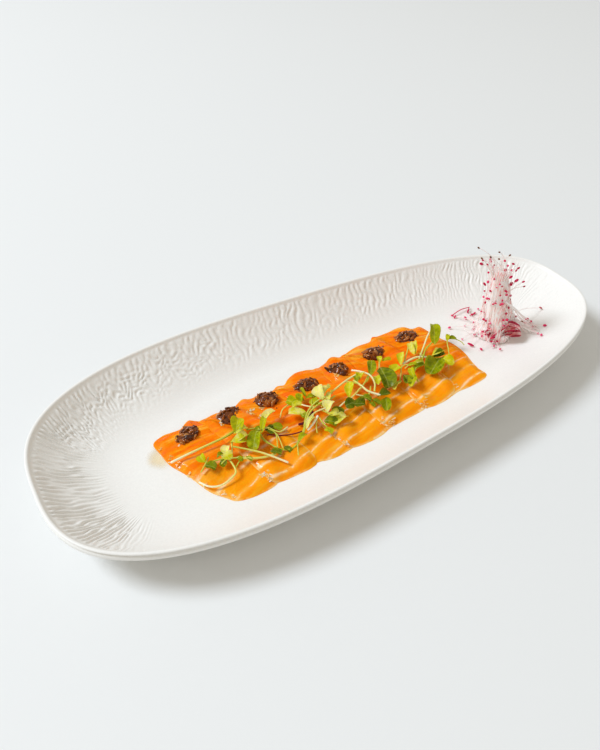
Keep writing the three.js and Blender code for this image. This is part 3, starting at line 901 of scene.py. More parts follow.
flesh = node(tree, "ValToRGB", {"stops": [
    (0.3, "#F86200"), (0.44, "#FF7E00"), (0.56, "#FF980A"), (0.7, "#FFBC48")]}, Fac=fibres)
deep = node(tree, "MapRange", SMOOTH, Value=drift, From_Min=0.42, From_Max=0.62, To_Max=0.55)
deeper_behind = node(tree, "Math", TIMES, _0=deep, _1=node(tree, "Math", TIMES_PLUS, _0=far, _1=0.4, _2=0.6))
flesh = node(tree, "Mix", COLOURS, _0=deeper_behind, _6=flesh, _7=linear("#FF6E00"))
golden_front = node(tree, "MapRange", SMOOTH, Value=far, From_Min=0.45, From_Max=0.0, To_Max=0.52)
golden_edge = node(tree, "MapRange", SMOOTH, Value=inward, From_Min=6.5, From_Max=0.5, To_Max=0.5)
in_front = node(tree, "MapRange", Value=far, To_Min=1.0, To_Max=0.0)
golden_edge = node(tree, "Math", TIMES, _0=golden_edge, _1=in_front)
golden = node(tree, "Math", {"operation": "MAXIMUM"}, _0=golden_front, _1=golden_edge)
flesh = node(tree, "Mix", COLOURS, _0=golden, _6=flesh, _7=linear("#FFA80C"))

across = node(tree, "SeparateXYZ", Vector=grain).outputs[1]
wobbled = node(tree, "Math", TIMES_PLUS, _0=patches, _1=0.2, _2=across)
from_line = node(tree, "Math", {"operation": "PINGPONG"}, _0=wobbled, _1=0.5)
line_width = node(tree, "MapRange", Value=drift, From_Min=0.35, From_Max=0.65, To_Min=0.05, To_Max=0.17)
core = node(tree, "MapRange", SMOOTH, Value=from_line, From_Min=line_width, From_Max=0.01)
halo = node(tree, "MapRange", SMOOTH, Value=from_line, From_Min=0.26, From_Max=0.02)
fading = node(tree, "MapRange", Value=far, To_Min=1.0, To_Max=0.08)
broken = node(tree, "MapRange", SMOOTH, Value=patches, From_Min=0.40, From_Max=0.55)
fading_broken = node(tree, "Math", TIMES, _0=fading, _1=broken)
core = node(tree, "Math", TIMES, _0=core, _1=fading_broken)
halo = node(tree, "Math", TIMES, _0=halo, _1=fading)
halo = node(tree, "Math", TIMES, _0=halo, _1=0.5)
core = node(tree, "Math", TIMES, _0=core, _1=0.85)
colour = node(tree, "Mix", COLOURS, _0=halo, _6=flesh, _7=linear("#FFB648"))
colour = node(tree, "Mix", COLOURS, _0=core, _6=colour, _7=linear("#FFD8A8"))
# Painted shade: a darker orange along the lines of fat at the back, where the mesh has grooves between the
# blocks of muscle.
groove = node(tree, "MapRange", SMOOTH, Value=from_line, From_Min=0.14, From_Max=0.0, To_Max=0.5)
groove = node(tree, "Math", TIMES, _0=groove, _1=node(tree, "Math", TIMES, _0=far, _1=far))
colour = node(tree, "Mix", COLOURS, _0=groove, _6=colour, _7=linear("#FA6000"))
# At the very edge the flesh is so thin that the white plate would show through: that light is painted on as a
# pale edge, paler at the front.
edge = node(tree, "MapRange", SMOOTH, Value=inward, From_Min=1.8, From_Max=0.1, To_Max=0.8)
edge = node(tree, "Math", TIMES, _0=edge, _1=node(tree, "Math", TIMES_PLUS, _0=broken, _1=0.8, _2=0.12))
edge_colour = node(tree, "Mix", COLOURS, _0=far, _6=linear("#FFC878"), _7=linear("#FF9A14"))
colour = node(tree, "Mix", COLOURS, _0=edge, _6=colour, _7=edge_colour)

height = node(tree, "Math", TIMES_PLUS, _0=crumbs, _1=0.18, _2=fibres)
height = node(tree, "Math", TIMES_PLUS, _0=patches, _1=0.6, _2=height)
bump = node(tree, "Bump", Strength=0.5, Distance=0.0011, Height=height)
damp = node(tree, "MapRange", SMOOTH, Value=patches, From_Min=0.52, From_Max=0.66, To_Max=0.8)
flesh_surface = node(
    tree, "BsdfPrincipled", Base_Color=colour, Roughness=0.5, IOR=1.4, Normal=bump,
    Specular_IOR_Level=0.06, Subsurface_Weight=0.2, Subsurface_Radius=(1.0, 0.3, 0.05),
    Subsurface_Scale=0.0012, Coat_Weight=damp, Coat_Roughness=0.1, Coat_IOR=1.33)
node(tree, "OutputMaterial", Surface=flesh_surface)

# %% Pieces of salmon
for number, shape in sorted(slice_shapes.items()):
    make_piece(f"slice_{number}", shape, salmon, [f"salmon_slice_{number}"])

# %% [markdown]
# ## A trace of juice
#
# At the wide end a little oily juice has run out from under the first slice. It is so thin that
# only a pale yellow stain and a soft gloss show. A flat lens of mesh that lets most light
# through is enough, and it fades towards its edge like a real film.

# %% Juice
JUICE = [(-117.5, 1), (-121, 0), (-125, 2.5), (-128.5, 7), (-128.8, 12), (-126, 17), (-122, 19.5), (-118, 21),
         (-114, 14), (-113, 6)]
JUICE_DEPTH = 0.3
JUICE_LIFT = 0.02  # keeps the film clear of the glaze
JUICE_RINGS, JUICE_POINTS = 8, 72


def juice_shape():
    """A flat lens that follows the plate."""
    count = JUICE_POINTS
    outline = smooth_curve(laid(JUICE), count, closed=True)
    middle = outline.mean(axis=0)
    shares = [1 - k / JUICE_RINGS for k in range(JUICE_RINGS)]
    upper = []
    for share in shares:
        ring = middle + (outline - middle) * share
        height = plate_height(*ring.T) + JUICE_DEPTH * (1 - share ** 3) + JUICE_LIFT
        upper.append(np.column_stack([ring, height]))
    base = plate_height(*middle) + JUICE_LIFT
    points = np.concatenate(upper + [[[*middle, base + JUICE_DEPTH], [*middle, base]]])
    top_end, low_end = len(points) - 2, len(points) - 1
    faces = loft_faces(len(upper), count)
    for k in range(count):
        after = (k + 1) % count
        faces.append((top_end, top_end - count + k, top_end - count + after))
        faces.append((low_end, after, k))
    inward = np.concatenate([np.full(count, 1 - s) for s in shares] + [[1, 1]])
    return {"points": points, "faces": faces, "inward": inward}


juice, tree = new_material("fish_juice_film")
# A clear film over white glaze: nearly all light passes, a little of the blue is kept back.
inward = node(tree, "Attribute", {"attribute_name": "inward"}).outputs["Fac"]
film = node(tree, "MapRange", SMOOTH, Value=inward, From_Min=0.0, From_Max=0.7, To_Min=0.01, To_Max=0.22)
juice_surface = node(
    tree, "BsdfPrincipled", Base_Color=linear("#FFE7A8"), Roughness=0.12, IOR=1.33, Alpha=film)
node(tree, "OutputMaterial", Surface=juice_surface)
make_piece("juice_film", juice_shape(), juice)

# %% [markdown]
# ## Dabs of tapenade
#
# Tapenade is olives chopped into bits 3 to 6 mm long and bound with oil. A dab from a spoon is a
# loose, knobbly heap some 15 mm across. A bumpy ball would look like clay, so each dab is a
# small core covered with separate chopped bits: a coarse ball each, pulled long, dented and
# bent, which lies along the core's surface and sinks a little into it.

# %% Chopped bits
def ball(detail):
    """Points and triangles of a ball of radius 1."""
    made = bmesh.new()
    bmesh.ops.create_icosphere(made, subdivisions=detail, radius=1.0)
    points = np.array([tuple(v.co) for v in made.verts])
    faces = [tuple(v.index for v in f.verts) for f in made.faces]
    made.free()
    return points, faces


SMALL_BALL, BIG_BALL = ball(2), ball(4)
print("corners of a bit:", len(SMALL_BALL[0]), "and of a core:", len(BIG_BALL[0]))

# %% Dabs
# Middle of each dab, half its length and width, and its height.
DABS = [
    dict(x=-98.5, y=16.5, rx=8.2, ry=6.6, height=3.8), dict(x=-71, y=17.5, rx=8.2, ry=7.2, height=4.2),
    dict(x=-43, y=18, rx=7.8, ry=6.4, height=4.0), dict(x=-14.5, y=17, rx=10.2, ry=6.0, height=4.6),
    dict(x=12.5, y=18.5, rx=8.2, ry=7.4, height=5.8), dict(x=42.5, y=19, rx=9.0, ry=6.8, height=5.0),
    dict(x=74, y=22.8, rx=9.8, ry=6.4, height=4.6),
]
BITS_IN_A_DAB = 46
DAB_CORE = 0.84  # the core's share of the dab
KNOB_BASE, KNOB_RISE = 0.84, 0.26  # of the core's size, between knobs and on them
BIT_LENGTH, BIT_WIDTH, BIT_DEPTH = (3.0, 6.0), (1.5, 2.8), (1.0, 1.6)


def dab_shape(dab, bits=BITS_IN_A_DAB):
    """One dab: a lumpy core and the bits that lie on it."""
    centre = laid([[dab["x"], dab["y"]]])[0]
    floor_height = read_map(food_map, centre[None])[0] - 0.6
    axes = np.array([dab["rx"], dab["ry"], dab["height"]]) * DAB_CORE
    knobs = rng.standard_normal((9, 3)) * [1, 1, 0.6]
    knobs /= np.linalg.norm(knobs, axis=1)[:, None]

    def on_core(directions):
        near = np.exp(7 * (directions @ knobs.T - 1)).sum(1)
        points = directions * (KNOB_BASE + KNOB_RISE * np.minimum(near, 1.3))[:, None] * axes
        points[:, 2] = np.maximum(points[:, 2], 0.0)
        return points + [*centre, floor_height]

    core_points, core_faces = BIG_BALL
    shapes = [{"points": on_core(core_points), "faces": core_faces, "tone": np.full(len(core_points), 0.25)}]
    bit_points, bit_faces = SMALL_BALL
    for _ in range(bits):
        outward = rng.standard_normal(3)
        outward[2] = abs(outward[2])
        outward /= np.linalg.norm(outward)
        along = np.cross(outward, rng.standard_normal(3))
        along = along / np.linalg.norm(along) + outward * rng.normal(0, 0.35)
        along /= np.linalg.norm(along)
        across = np.cross(outward, along)
        across /= np.linalg.norm(across)
        turn = np.stack([along, across, np.cross(along, across)])
        size = [rng.uniform(*BIT_LENGTH) / 2, rng.uniform(*BIT_WIDTH) / 2, rng.uniform(*BIT_DEPTH) / 2]
        size = np.array(size) * min(1.0, dab["rx"] / 5)
        waves = 2.6 * bit_points @ rng.standard_normal((3, 2)) + rng.uniform(0, 6, 2)
        dents = 1 + 0.16 * np.sin(waves).sum(1)
        bend = rng.normal(0, 0.25) * size[0]
        bit = bit_points * dents[:, None] * size
        bit[:, 2] += bend * bit_points[:, 0] ** 2
        seat = on_core(outward[None])[0] + outward * rng.uniform(-0.3, 0.35)
        tone = np.full(len(bit), rng.random())
        shapes.append({"points": bit @ turn + seat, "faces": bit_faces, "tone": tone})
    return joined(shapes)


# %% [markdown]
# ## The look of tapenade
#
# Chopped olive is skin and flesh of many browns, and the oil round it is what shines. One tone
# for each bit, carried by its points, tells the bits apart better than any pattern would. A
# clear coat stands for the oil.

# %% Tapenade
tapenade, tree = new_material("olive_tapenade_in_oil")
# Warm browns from dark to tan, mottled over some 1.4 mm, and a coat of oil that glints.
place = node(tree, "TexCoord").outputs["Object"]
tone = node(tree, "Attribute", {"attribute_name": "tone"}).outputs["Fac"]
mottle = node(tree, "TexNoise", Vector=place, Scale=700.0, Detail=3.0)
shade = node(tree, "Math", TIMES_PLUS, _0=node(tree, "Math", MINUS, _0=mottle, _1=0.5), _1=0.8, _2=tone)
olive = node(tree, "ValToRGB", {"stops": [
    (0.0, "#401A00"), (0.3, "#6E3200"), (0.6, "#924A00"), (0.85, "#A85C10"),
    (1.0, "#BA7C40")]}, Fac=shade)
bump = node(tree, "Bump", Strength=0.25, Distance=0.0004, Height=mottle)
oily = node(tree, "BsdfPrincipled", Base_Color=olive, Roughness=0.4, IOR=1.47, Normal=bump,
            Specular_IOR_Level=0.1, Coat_Weight=0.8, Coat_Roughness=0.07, Coat_IOR=1.47)
node(tree, "OutputMaterial", Surface=oily)

for number, dab in enumerate(DABS, 1):
    make_piece(f"dab_{number}", dab_shape(dab), tapenade, [f"tapenade_dab_{number}"])
crumb = dab_shape(dict(x=-41, y=8.5, rx=1.2, ry=0.9, height=0.9), 12)
make_piece("stray_crumb", crumb, tapenade)

# %% [markdown]
# ## Pale flecks
#
# Raw salmon is not clean at its cut corners: shreds of white sinew and droplets of fat stick
# out there, and oil beads round the dabs. The flecks stand partly for these and partly for
# painted highlights where wet corners and the dabs' feet glint. They are pale, wet and 1.5 to
# 4 mm long.
# Single ones are too many to place by hand, so each spot below is a place, a radius and a
# count. Its flecks are flattened balls, pressed half into whatever lies there.

# %% Flecks
FLECK_SPOTS = [
    (-73, -34, 2.4, 11), (-71.5, -38, 1.6, 7), (-99, -33, 2.2, 6), (-95, -39, 1.6, 5),
    (-105.5, -22, 1.6, 3), (-111, -10, 1.2, 2), (-115, 6, 1.6, 5), (-116.5, 16, 1.4, 3),
    (-56, 13, 3.0, 11), (-53, 8, 2.2, 6), (-19.5, -38, 2.2, 11), (-21, -33, 1.5, 5),
    (10, -35.5, 2.2, 9), (15, -38, 2.2, 9), (42, -36, 2.2, 12), (39.8, -31, 1.8, 7),
    (45, -32.5, 1.8, 4), (71, -33, 1.6, 3), (-30, 5, 3.0, 3), (-104.5, 12.5, 1.6, 6),
    (-78, 12.5, 1.6, 6), (-49, 13.5, 1.6, 5), (6.5, 13.5, 1.6, 5), (36.5, 14, 1.5, 3),
]


def fleck(x, y):
    """One flattened fleck, lying at a random angle on the fish or the plate."""
    points, faces = SMALL_BALL
    spot = np.array([[x, y]])
    turn = rng.uniform(0, np.pi)
    long_half, wide_half = rng.uniform(0.7, 2.0), rng.uniform(0.35, 0.8)
    c, s = math.cos(turn), math.sin(turn)
    flat_x, flat_y, flat_z = (points * [long_half, wide_half, rng.uniform(0.1, 0.18)]).T
    level = read_map(food_map, spot)[0] + 0.01
    turned = np.column_stack([c * flat_x - s * flat_y, s * flat_x + c * flat_y, flat_z])
    return {"points": turned + [x, y, level], "faces": faces, "tone": np.full(len(points), rng.random())}


flecks = []
for x, y, radius, count in FLECK_SPOTS:
    for _ in range(count):
        flecks.append(fleck(*(laid([[x, y]])[0] + rng.normal(0, 0.55 * radius, 2))))
print("flecks:", len(flecks))

# %% Flecks and painted glints
flecks_and_glints, tree = new_material("pale_flecks_and_painted_glints")
# Fat and sinew: cloudy, from cream to pale orange, under a wet film. Where flecks stand for wet glints, their
# pale colour is a painted highlight.
tone = node(tree, "Attribute", {"attribute_name": "tone"}).outputs["Fac"]
fleck_and_glint_tone = node(tree, "ValToRGB", {"stops": [
    (0.0, "#FFA430"), (0.6, "#FFC474"), (1.0, "#FFE8CC")]}, Fac=tone)
fleck_and_glint_surface = node(
    tree, "BsdfPrincipled", Base_Color=fleck_and_glint_tone, Roughness=0.3, IOR=1.4, Subsurface_Weight=0.5,
    Subsurface_Radius=(1.0, 0.6, 0.3), Subsurface_Scale=0.001, Coat_Weight=0.6, Coat_Roughness=0.08)
node(tree, "OutputMaterial", Surface=fleck_and_glint_surface)
make_piece("pale_flecks", joined(flecks), flecks_and_glints)

# %% [markdown]
# ## Stems
#
# Cress and sprouts are picked young: their stems are soft threads, white where they grew in the
# dark and green near the leaf. A curve object with a round bevel would do, but a mesh can also
# carry a tone that changes from foot to tip. So a stem is a round tube along a smooth curve
# through a few points: a ring of points carried along the curve. The ring is kept from twisting
# by taking its side from one fixed direction, which no stem keeps to for long.

# %% A stem
STEM_SIDES, THREAD_SIDES = 8, 6
END_ROUNDING = 0.6  # how far its ends stand out, in radii
OFF_THE_STEMS = (0.31, -0.52, 0.79)  # the fixed direction


def tube_faces(loops, count):
    """Faces of stacked loops with a fan at each end. The two end points come last."""
    faces = [f[::-1] for f in loft_faces(loops, count)]
    last = (loops - 1) * count
    for k in range(count):
        after = (k + 1) % count
        faces.append((loops * count, after, k))
        faces.append((loops * count + 1, last + k, last + after))
    return faces


def tube(path, radius, tip_radius, tone, tip_tone, sides=STEM_SIDES):
    """A closed tube along a path, with a tone that changes along it."""
    count = len(path)
    along = np.gradient(path, axis=0)
    along /= np.linalg.norm(along, axis=1)[:, None]
    side = np.cross(along, OFF_THE_STEMS)
    side /= np.linalg.norm(side, axis=1)[:, None]
    up = np.cross(side, along)
    share = np.linspace(0, 1, count)
    widths = lerp(radius, tip_radius, share)
    turns = np.arange(sides) / sides * 2 * np.pi
    rings = path[:, None] + widths[:, None, None] * (
        np.cos(turns)[None, :, None] * side[:, None] + np.sin(turns)[None, :, None] * up[:, None])
    low_end = path[:1] - along[:1] * radius * END_ROUNDING
    high_end = path[-1:] + along[-1:] * tip_radius * END_ROUNDING
    points = np.concatenate([rings.reshape(-1, 3), low_end, high_end])
    tones = np.concatenate([np.repeat(lerp(tone, tip_tone, share), sides), [tone, tip_tone]])
    return {"points": points, "faces": tube_faces(count, sides), "tone": tones}


# %% [markdown]
# ## Leaves
#
# The leaves are round to heart-shaped, 5 to 14 mm long, and hardly thicker than paper. A flat
# card would look flat, so each is a fan of rings that is cupped across, arched along, and
# creased at its midrib, with a thickness that thins out at its rim. An angle of 0 points to the
# tip, where the outline has a shallow notch, and at the other end it runs out into a short neck
# that meets the stalk. Each leaf is given by its stalk end, its tip and its width, and by the
# way that its face leans.

# %% A leaf
LEAF_RINGS = (0.22, 0.45, 0.66, 0.84, 0.95, 1.0)
LEAF_TURNS = 24
LEAF_THICKNESS = 0.34
LEAF_NOTCH, LEAF_NECK = 0.13, 0.16  # depth of the notch and reach of the neck, in half lengths
LEAF_CREASE, LEAF_RIPPLE = 0.025, 0.1  # depth of the crease and of the ripples, in widths


def leaf(base, tip, width, lean=(0.0, 0.0), cup=0.35, arch=0.15, tone=0.5):
    """A closed leaf from stalk end to tip. lean tips its face along x and y."""
    base, tip = np.asarray(base, float), np.asarray(tip, float)
    length = np.linalg.norm(tip - base)
    along = (tip - base) / length
    face = np.array([lean[0], lean[1], 1.0])
    face -= along * (face @ along)
    face /= np.linalg.norm(face)
    side = np.cross(face, along)
    turns = np.arange(LEAF_TURNS) / LEAF_TURNS * 2 * np.pi
    from_tip = np.minimum(turns, 2 * np.pi - turns)
    outline_along = np.cos(turns) * (1 - LEAF_NOTCH * np.exp(-(from_tip / 0.3) ** 2))
    outline_along -= LEAF_NECK * np.exp(-((np.pi - from_tip) / 0.25) ** 2)
    outline_side = np.sin(turns) * (1 + 0.10 * np.cos(turns) + 0.09 * np.sin(2 * turns + 31 * tone))
    rings = np.array(LEAF_RINGS)[:, None]
    reach = np.concatenate([[0.0], (rings * outline_along).ravel()])
    aside = np.concatenate([[0.0], (rings * outline_side).ravel()])
    middle = 0.52 * length
    ripple = np.sin(3 * np.arctan2(aside, reach) + tone * 20)
    ripple = LEAF_RIPPLE * width * ripple * np.hypot(reach, aside) ** 3
    rise = (arch * length * (1 - reach ** 2) + cup * width / 2 * aside ** 2
            - LEAF_CREASE * width * np.exp(-(aside / 0.14) ** 2) + ripple)
    upper = (base + (middle + reach * middle * 0.93)[:, None] * along
             + (aside * width / 2)[:, None] * side + rise[:, None] * face)
    shares = np.concatenate([[0.0], np.repeat(LEAF_RINGS, LEAF_TURNS)])
    thick = LEAF_THICKNESS * np.sqrt(1.02 - shares ** 2)
    lower = upper - thick[:, None] * face
    faces = []
    under = len(upper)
    for k in range(LEAF_TURNS):
        after = (k + 1) % LEAF_TURNS
        faces.append((0, 1 + k, 1 + after))
        faces.append((under, under + 1 + after, under + 1 + k))
        last = 1 + (len(LEAF_RINGS) - 1) * LEAF_TURNS
        faces.append((last + k, under + last + k, under + last + after, last + after))
    sheet = loft_faces(len(LEAF_RINGS), LEAF_TURNS, 1)
    faces += [f[::-1] for f in sheet] + [tuple(i + under for i in f) for f in sheet]
    return {"points": np.concatenate([upper, lower]), "faces": faces, "tone": np.full(2 * under, tone),
            "grain": np.tile(np.column_stack([(reach + 1) / 2, aside]), (2, 1))}


# %% [markdown]
# ## Three clumps of cress
#
# Each clump was dropped by hand, so nothing in it repeats, and a scatter of random sprigs would
# not look like it. Its stems and leaves are therefore placed one by one. A stem is a list of
# spots that it passes over and its heights there, a radius, and a tone at each end: 0 is white,
# 1 green and 2 crimson. A leaf has a stalk end and a tip, each a spot and a height, a width, and
# a tone from 0 (dark) to 1 (pale).

# %% Stems of the clumps
STEMS = {
    "left": [
        ([(-116, 1.7, 2.6), (-105, 2.4, 3.6), (-90, 3, 5), (-80, 3.5, 7),
          (-73, 4.8, 8.5)], 0.75, 0.0, 1.0),
        ([(-108, -20, 1.4), (-104, -26, 1.3), (-98, -28.5, 1.8), (-91, -27, 3), (-86.5, -24, 4.5),
          (-85.5, -18, 6), (-86, -13, 7.5)], 0.6, 0.0, 0.7),
        ([(-104, -14, 3), (-99, -9.5, 4.5), (-95.5, -6, 5.5)], 0.45, 0.8, 0.7),
        ([(-98, -9.5, 4.5), (-92, -10.5, 5.5), (-87, -12, 7)], 0.5, 0.9, 0.9),
        ([(-81, -15, 6), (-76, -18.5, 5), (-68, -22.5, 3.5), (-60, -24, 2.8)], 0.75, 0.55, 0.5),
        ([(-79, -6, 8), (-73, -12, 8), (-67, -18.5, 7), (-62, -25.5, 5),
          (-57, -33.5, 2.6)], 0.6, 0.8, 0.1),
        ([(-83, -12, 7), (-80.5, -7, 8), (-78, -2.5, 9), (-73, 0.5, 9)], 0.55, 0.3, 0.9),
        ([(-66, 2, 8), (-59, 0, 8), (-54, -2.8, 7.5), (-51, -8, 6), (-48.5, -10, 5),
          (-43, -9, 4)], 0.5, 1.0, 0.3),
        ([(-59, 0, 8.5), (-60.5, -8, 8), (-59.5, -14, 7), (-57, -20.5, 5.5)], 0.45, 0.9, 0.8),
        ([(-61.5, -8, 8), (-60.5, -13, 7), (-58, -18, 6)], 0.35, 0.9, 0.9),
        ([(-56.5, -20, 5), (-53.5, -14, 6), (-52, -9, 7), (-54, -4, 8)], 0.38, 0.7, 0.9),
        ([(-54, -22, 4.5), (-52.5, -16, 5.5), (-51.5, -10, 6.5)], 0.35, 0.6, 0.8),
        ([(-49, -32, 1.8), (-46.5, -27, 3.2), (-44, -22.5, 4.6)], 0.4, 0.5, 0.9),
        ([(-62, -3, 8), (-58, -2.2, 8.4), (-53, -3.5, 8)], 0.5, 0.7, 0.5),
        ([(-92, -15, 5), (-87.5, -13, 7), (-82, -14.5, 6.5), (-79, -17, 5.5)], 0.5, 0.8, 0.7),
        ([(-85, -21, 4.5), (-81, -18, 5.5), (-77, -16, 6)], 0.4, 0.9, 0.8),
        ([(-57, -8, 5), (-52, -11.5, 4), (-46, -14.7, 3.2), (-40, -16.3, 2.6),
          (-35.5, -16.5, 2.4)], 0.42, 2.0, 1.7),
        ([(-36, -10.6, 2), (-33.5, -11.2, 2.6), (-31.5, -11.4, 2.2)], 0.9, 1.9, 2.0),
    ],
    "middle": [
        ([(-56, -22, 4), (-52, -25, 3.2), (-47.5, -25, 3.2), (-42, -22, 5), (-36.5, -17.5, 7),
          (-31, -11, 9),
          (-25, -5.5, 10.5), (-18, -2.5, 11), (-9, -0.5, 11)], 0.55, 1.0, 0.6),
        ([(-40, -20, 5), (-35, -15, 7.5), (-30, -8.5, 9.5), (-24, -3, 11), (-15, 1, 11.5),
          (-3, 2.2, 11)], 0.5, 0.9, 0.5),
        ([(-43, 0.5, 2.6), (-38.5, 5.5, 4), (-32, 8, 6)], 0.45, 0.4, 0.6),
        ([(-33.5, -17.5, 6), (-28, -14.5, 8), (-22, -10.5, 10)], 0.75, 0.0, 0.05),
        ([(-33, -14, 7), (-28, -11.5, 8.5), (-24, -8, 10)], 0.6, 0.3, 0.4),
        ([(-30, -22.5, 3.5), (-27.5, -17.5, 6), (-24, -12.5, 8)], 0.4, 0.8, 0.7),
        ([(-22, -12, 8.5), (-22.5, -17, 7), (-22, -22.5, 5)], 0.5, 0.8, 0.9),
        ([(-30, -10, 9), (-22, -7, 10.5), (-14, -7, 11.5)], 0.45, 0.6, 0.2),
        ([(-26, 3.5, 9), (-23, 0, 10), (-20, -3, 10.5)], 0.5, 0.1, 0.5),
        ([(-22, -3, 10), (-19, 2, 10.5), (-15.5, 6, 10)], 0.4, 0.8, 0.9),
        ([(-16, -5, 10), (-10, -2.5, 11), (-3, -1, 11)], 0.5, 0.7, 0.8),
        ([(-28, 1, 8), (-30, -2.5, 8.5), (-30, -6, 9)], 0.4, 0.8, 0.9),
        ([(-18, -6, 10), (-15, -12, 9), (-13, -16, 7)], 0.45, 0.7, 0.8),
        ([(-27, -7.6, 3), (-25, -7, 3.6), (-23, -5.6, 3.2)], 1.0, 2.0, 1.8),
    ],
    "right": [
        ([(-12, 0.5, 11), (0, 4, 11), (10, 7, 11), (20, 8.7, 10.5), (25, 8, 10)], 0.65, 0.5, 0.25),
        ([(-7, -11, 6), (0, -8.7, 8), (6, -7.5, 9), (13, -4.5, 10), (20, -1, 10),
          (26, 3.5, 10)], 0.5, 0.15, 0.9),
        ([(20, 13.8, 8.5), (25, 9, 10), (27.8, 3, 10.5), (26, -4.5, 10),
          (21.5, -10.5, 9)], 0.65, 0.0, 0.5),
        ([(15.5, 5, 9.5), (17, -2, 10), (18, -8.5, 9.5), (22.5, -15.5, 8.5)], 0.75, 0.55, 0.1),
        ([(9.5, -7, 9), (13, -10.5, 8.5), (17.5, -10.5, 9), (22, -5.5, 10)], 0.45, 0.3, 0.8),
        ([(10, 6.5, 10.5), (13, 4.5, 10.3), (16, 1, 10)], 0.5, 0.5, 0.9),
        ([(20, -1, 9.5), (24, 0.5, 9.8), (28, 4.5, 9.5)], 0.45, 0.8, 1.0),
        ([(37, 6, 9), (40.5, 10.5, 10.5), (42.5, 13, 11)], 0.5, 0.4, 0.9),
        ([(55, 2, 9), (60, 6.5, 9.8), (65, 11, 10), (68, 14, 10.5)], 0.5, 0.8, 0.8),
        ([(53.5, 1.3, 8.5), (60, 2, 9.2), (66, 1.8, 9.2), (71, -1, 9), (74, -4.5, 8.5)], 0.8, 0.15, 0.4),
        ([(53, -11, 8.2), (58, -7, 8.6), (64, -4.5, 9), (70, 0, 9.8), (76, 5, 10.5),
          (86, 9.5, 11.5)], 0.55, 0.9, 0.9),
        ([(68.5, 1.5, 9.5), (76, 7.5, 11), (86, 15.5, 13), (97, 23, 15)], 0.62, 0.45, 0.0),
        ([(84.5, -10.5, 7.5), (89.5, -3.5, 9.5), (94.5, 4, 10.5), (99, 8.5, 11)], 0.42, 0.7, 0.9),
        ([(40, -13, 8), (46, -6.5, 8.5), (51.5, -0.5, 9), (58, -1.5, 9)], 0.45, 0.8, 0.6),
        ([(51.5, -18, 6.5), (54, -11, 8), (57, -4.5, 9)], 0.6, 0.9, 0.9),
        ([(52, -3, 8.5), (59, -1.5, 9), (66, -4, 9)], 0.4, 0.5, 0.6),
        ([(57, -8, 8.3), (63, -3, 9.2), (69, 2, 9.8)], 0.45, 0.6, 0.3),
        ([(70, 4, 9.8), (72, -2, 9.3), (78, -6.5, 8.5), (82, -8, 8)], 0.5, 0.9, 0.9),
        ([(97, 6, 11), (101, 4, 10), (103, -1, 8), (102.5, -5, 6)], 0.3, 1.0, 1.0),
        ([(80, -11, 7), (79.5, -15, 5.5), (77, -19, 3.5)], 0.3, 0.5, 0.7),
    ],
}
print("stems:", {name: len(stems) for name, stems in STEMS.items()})
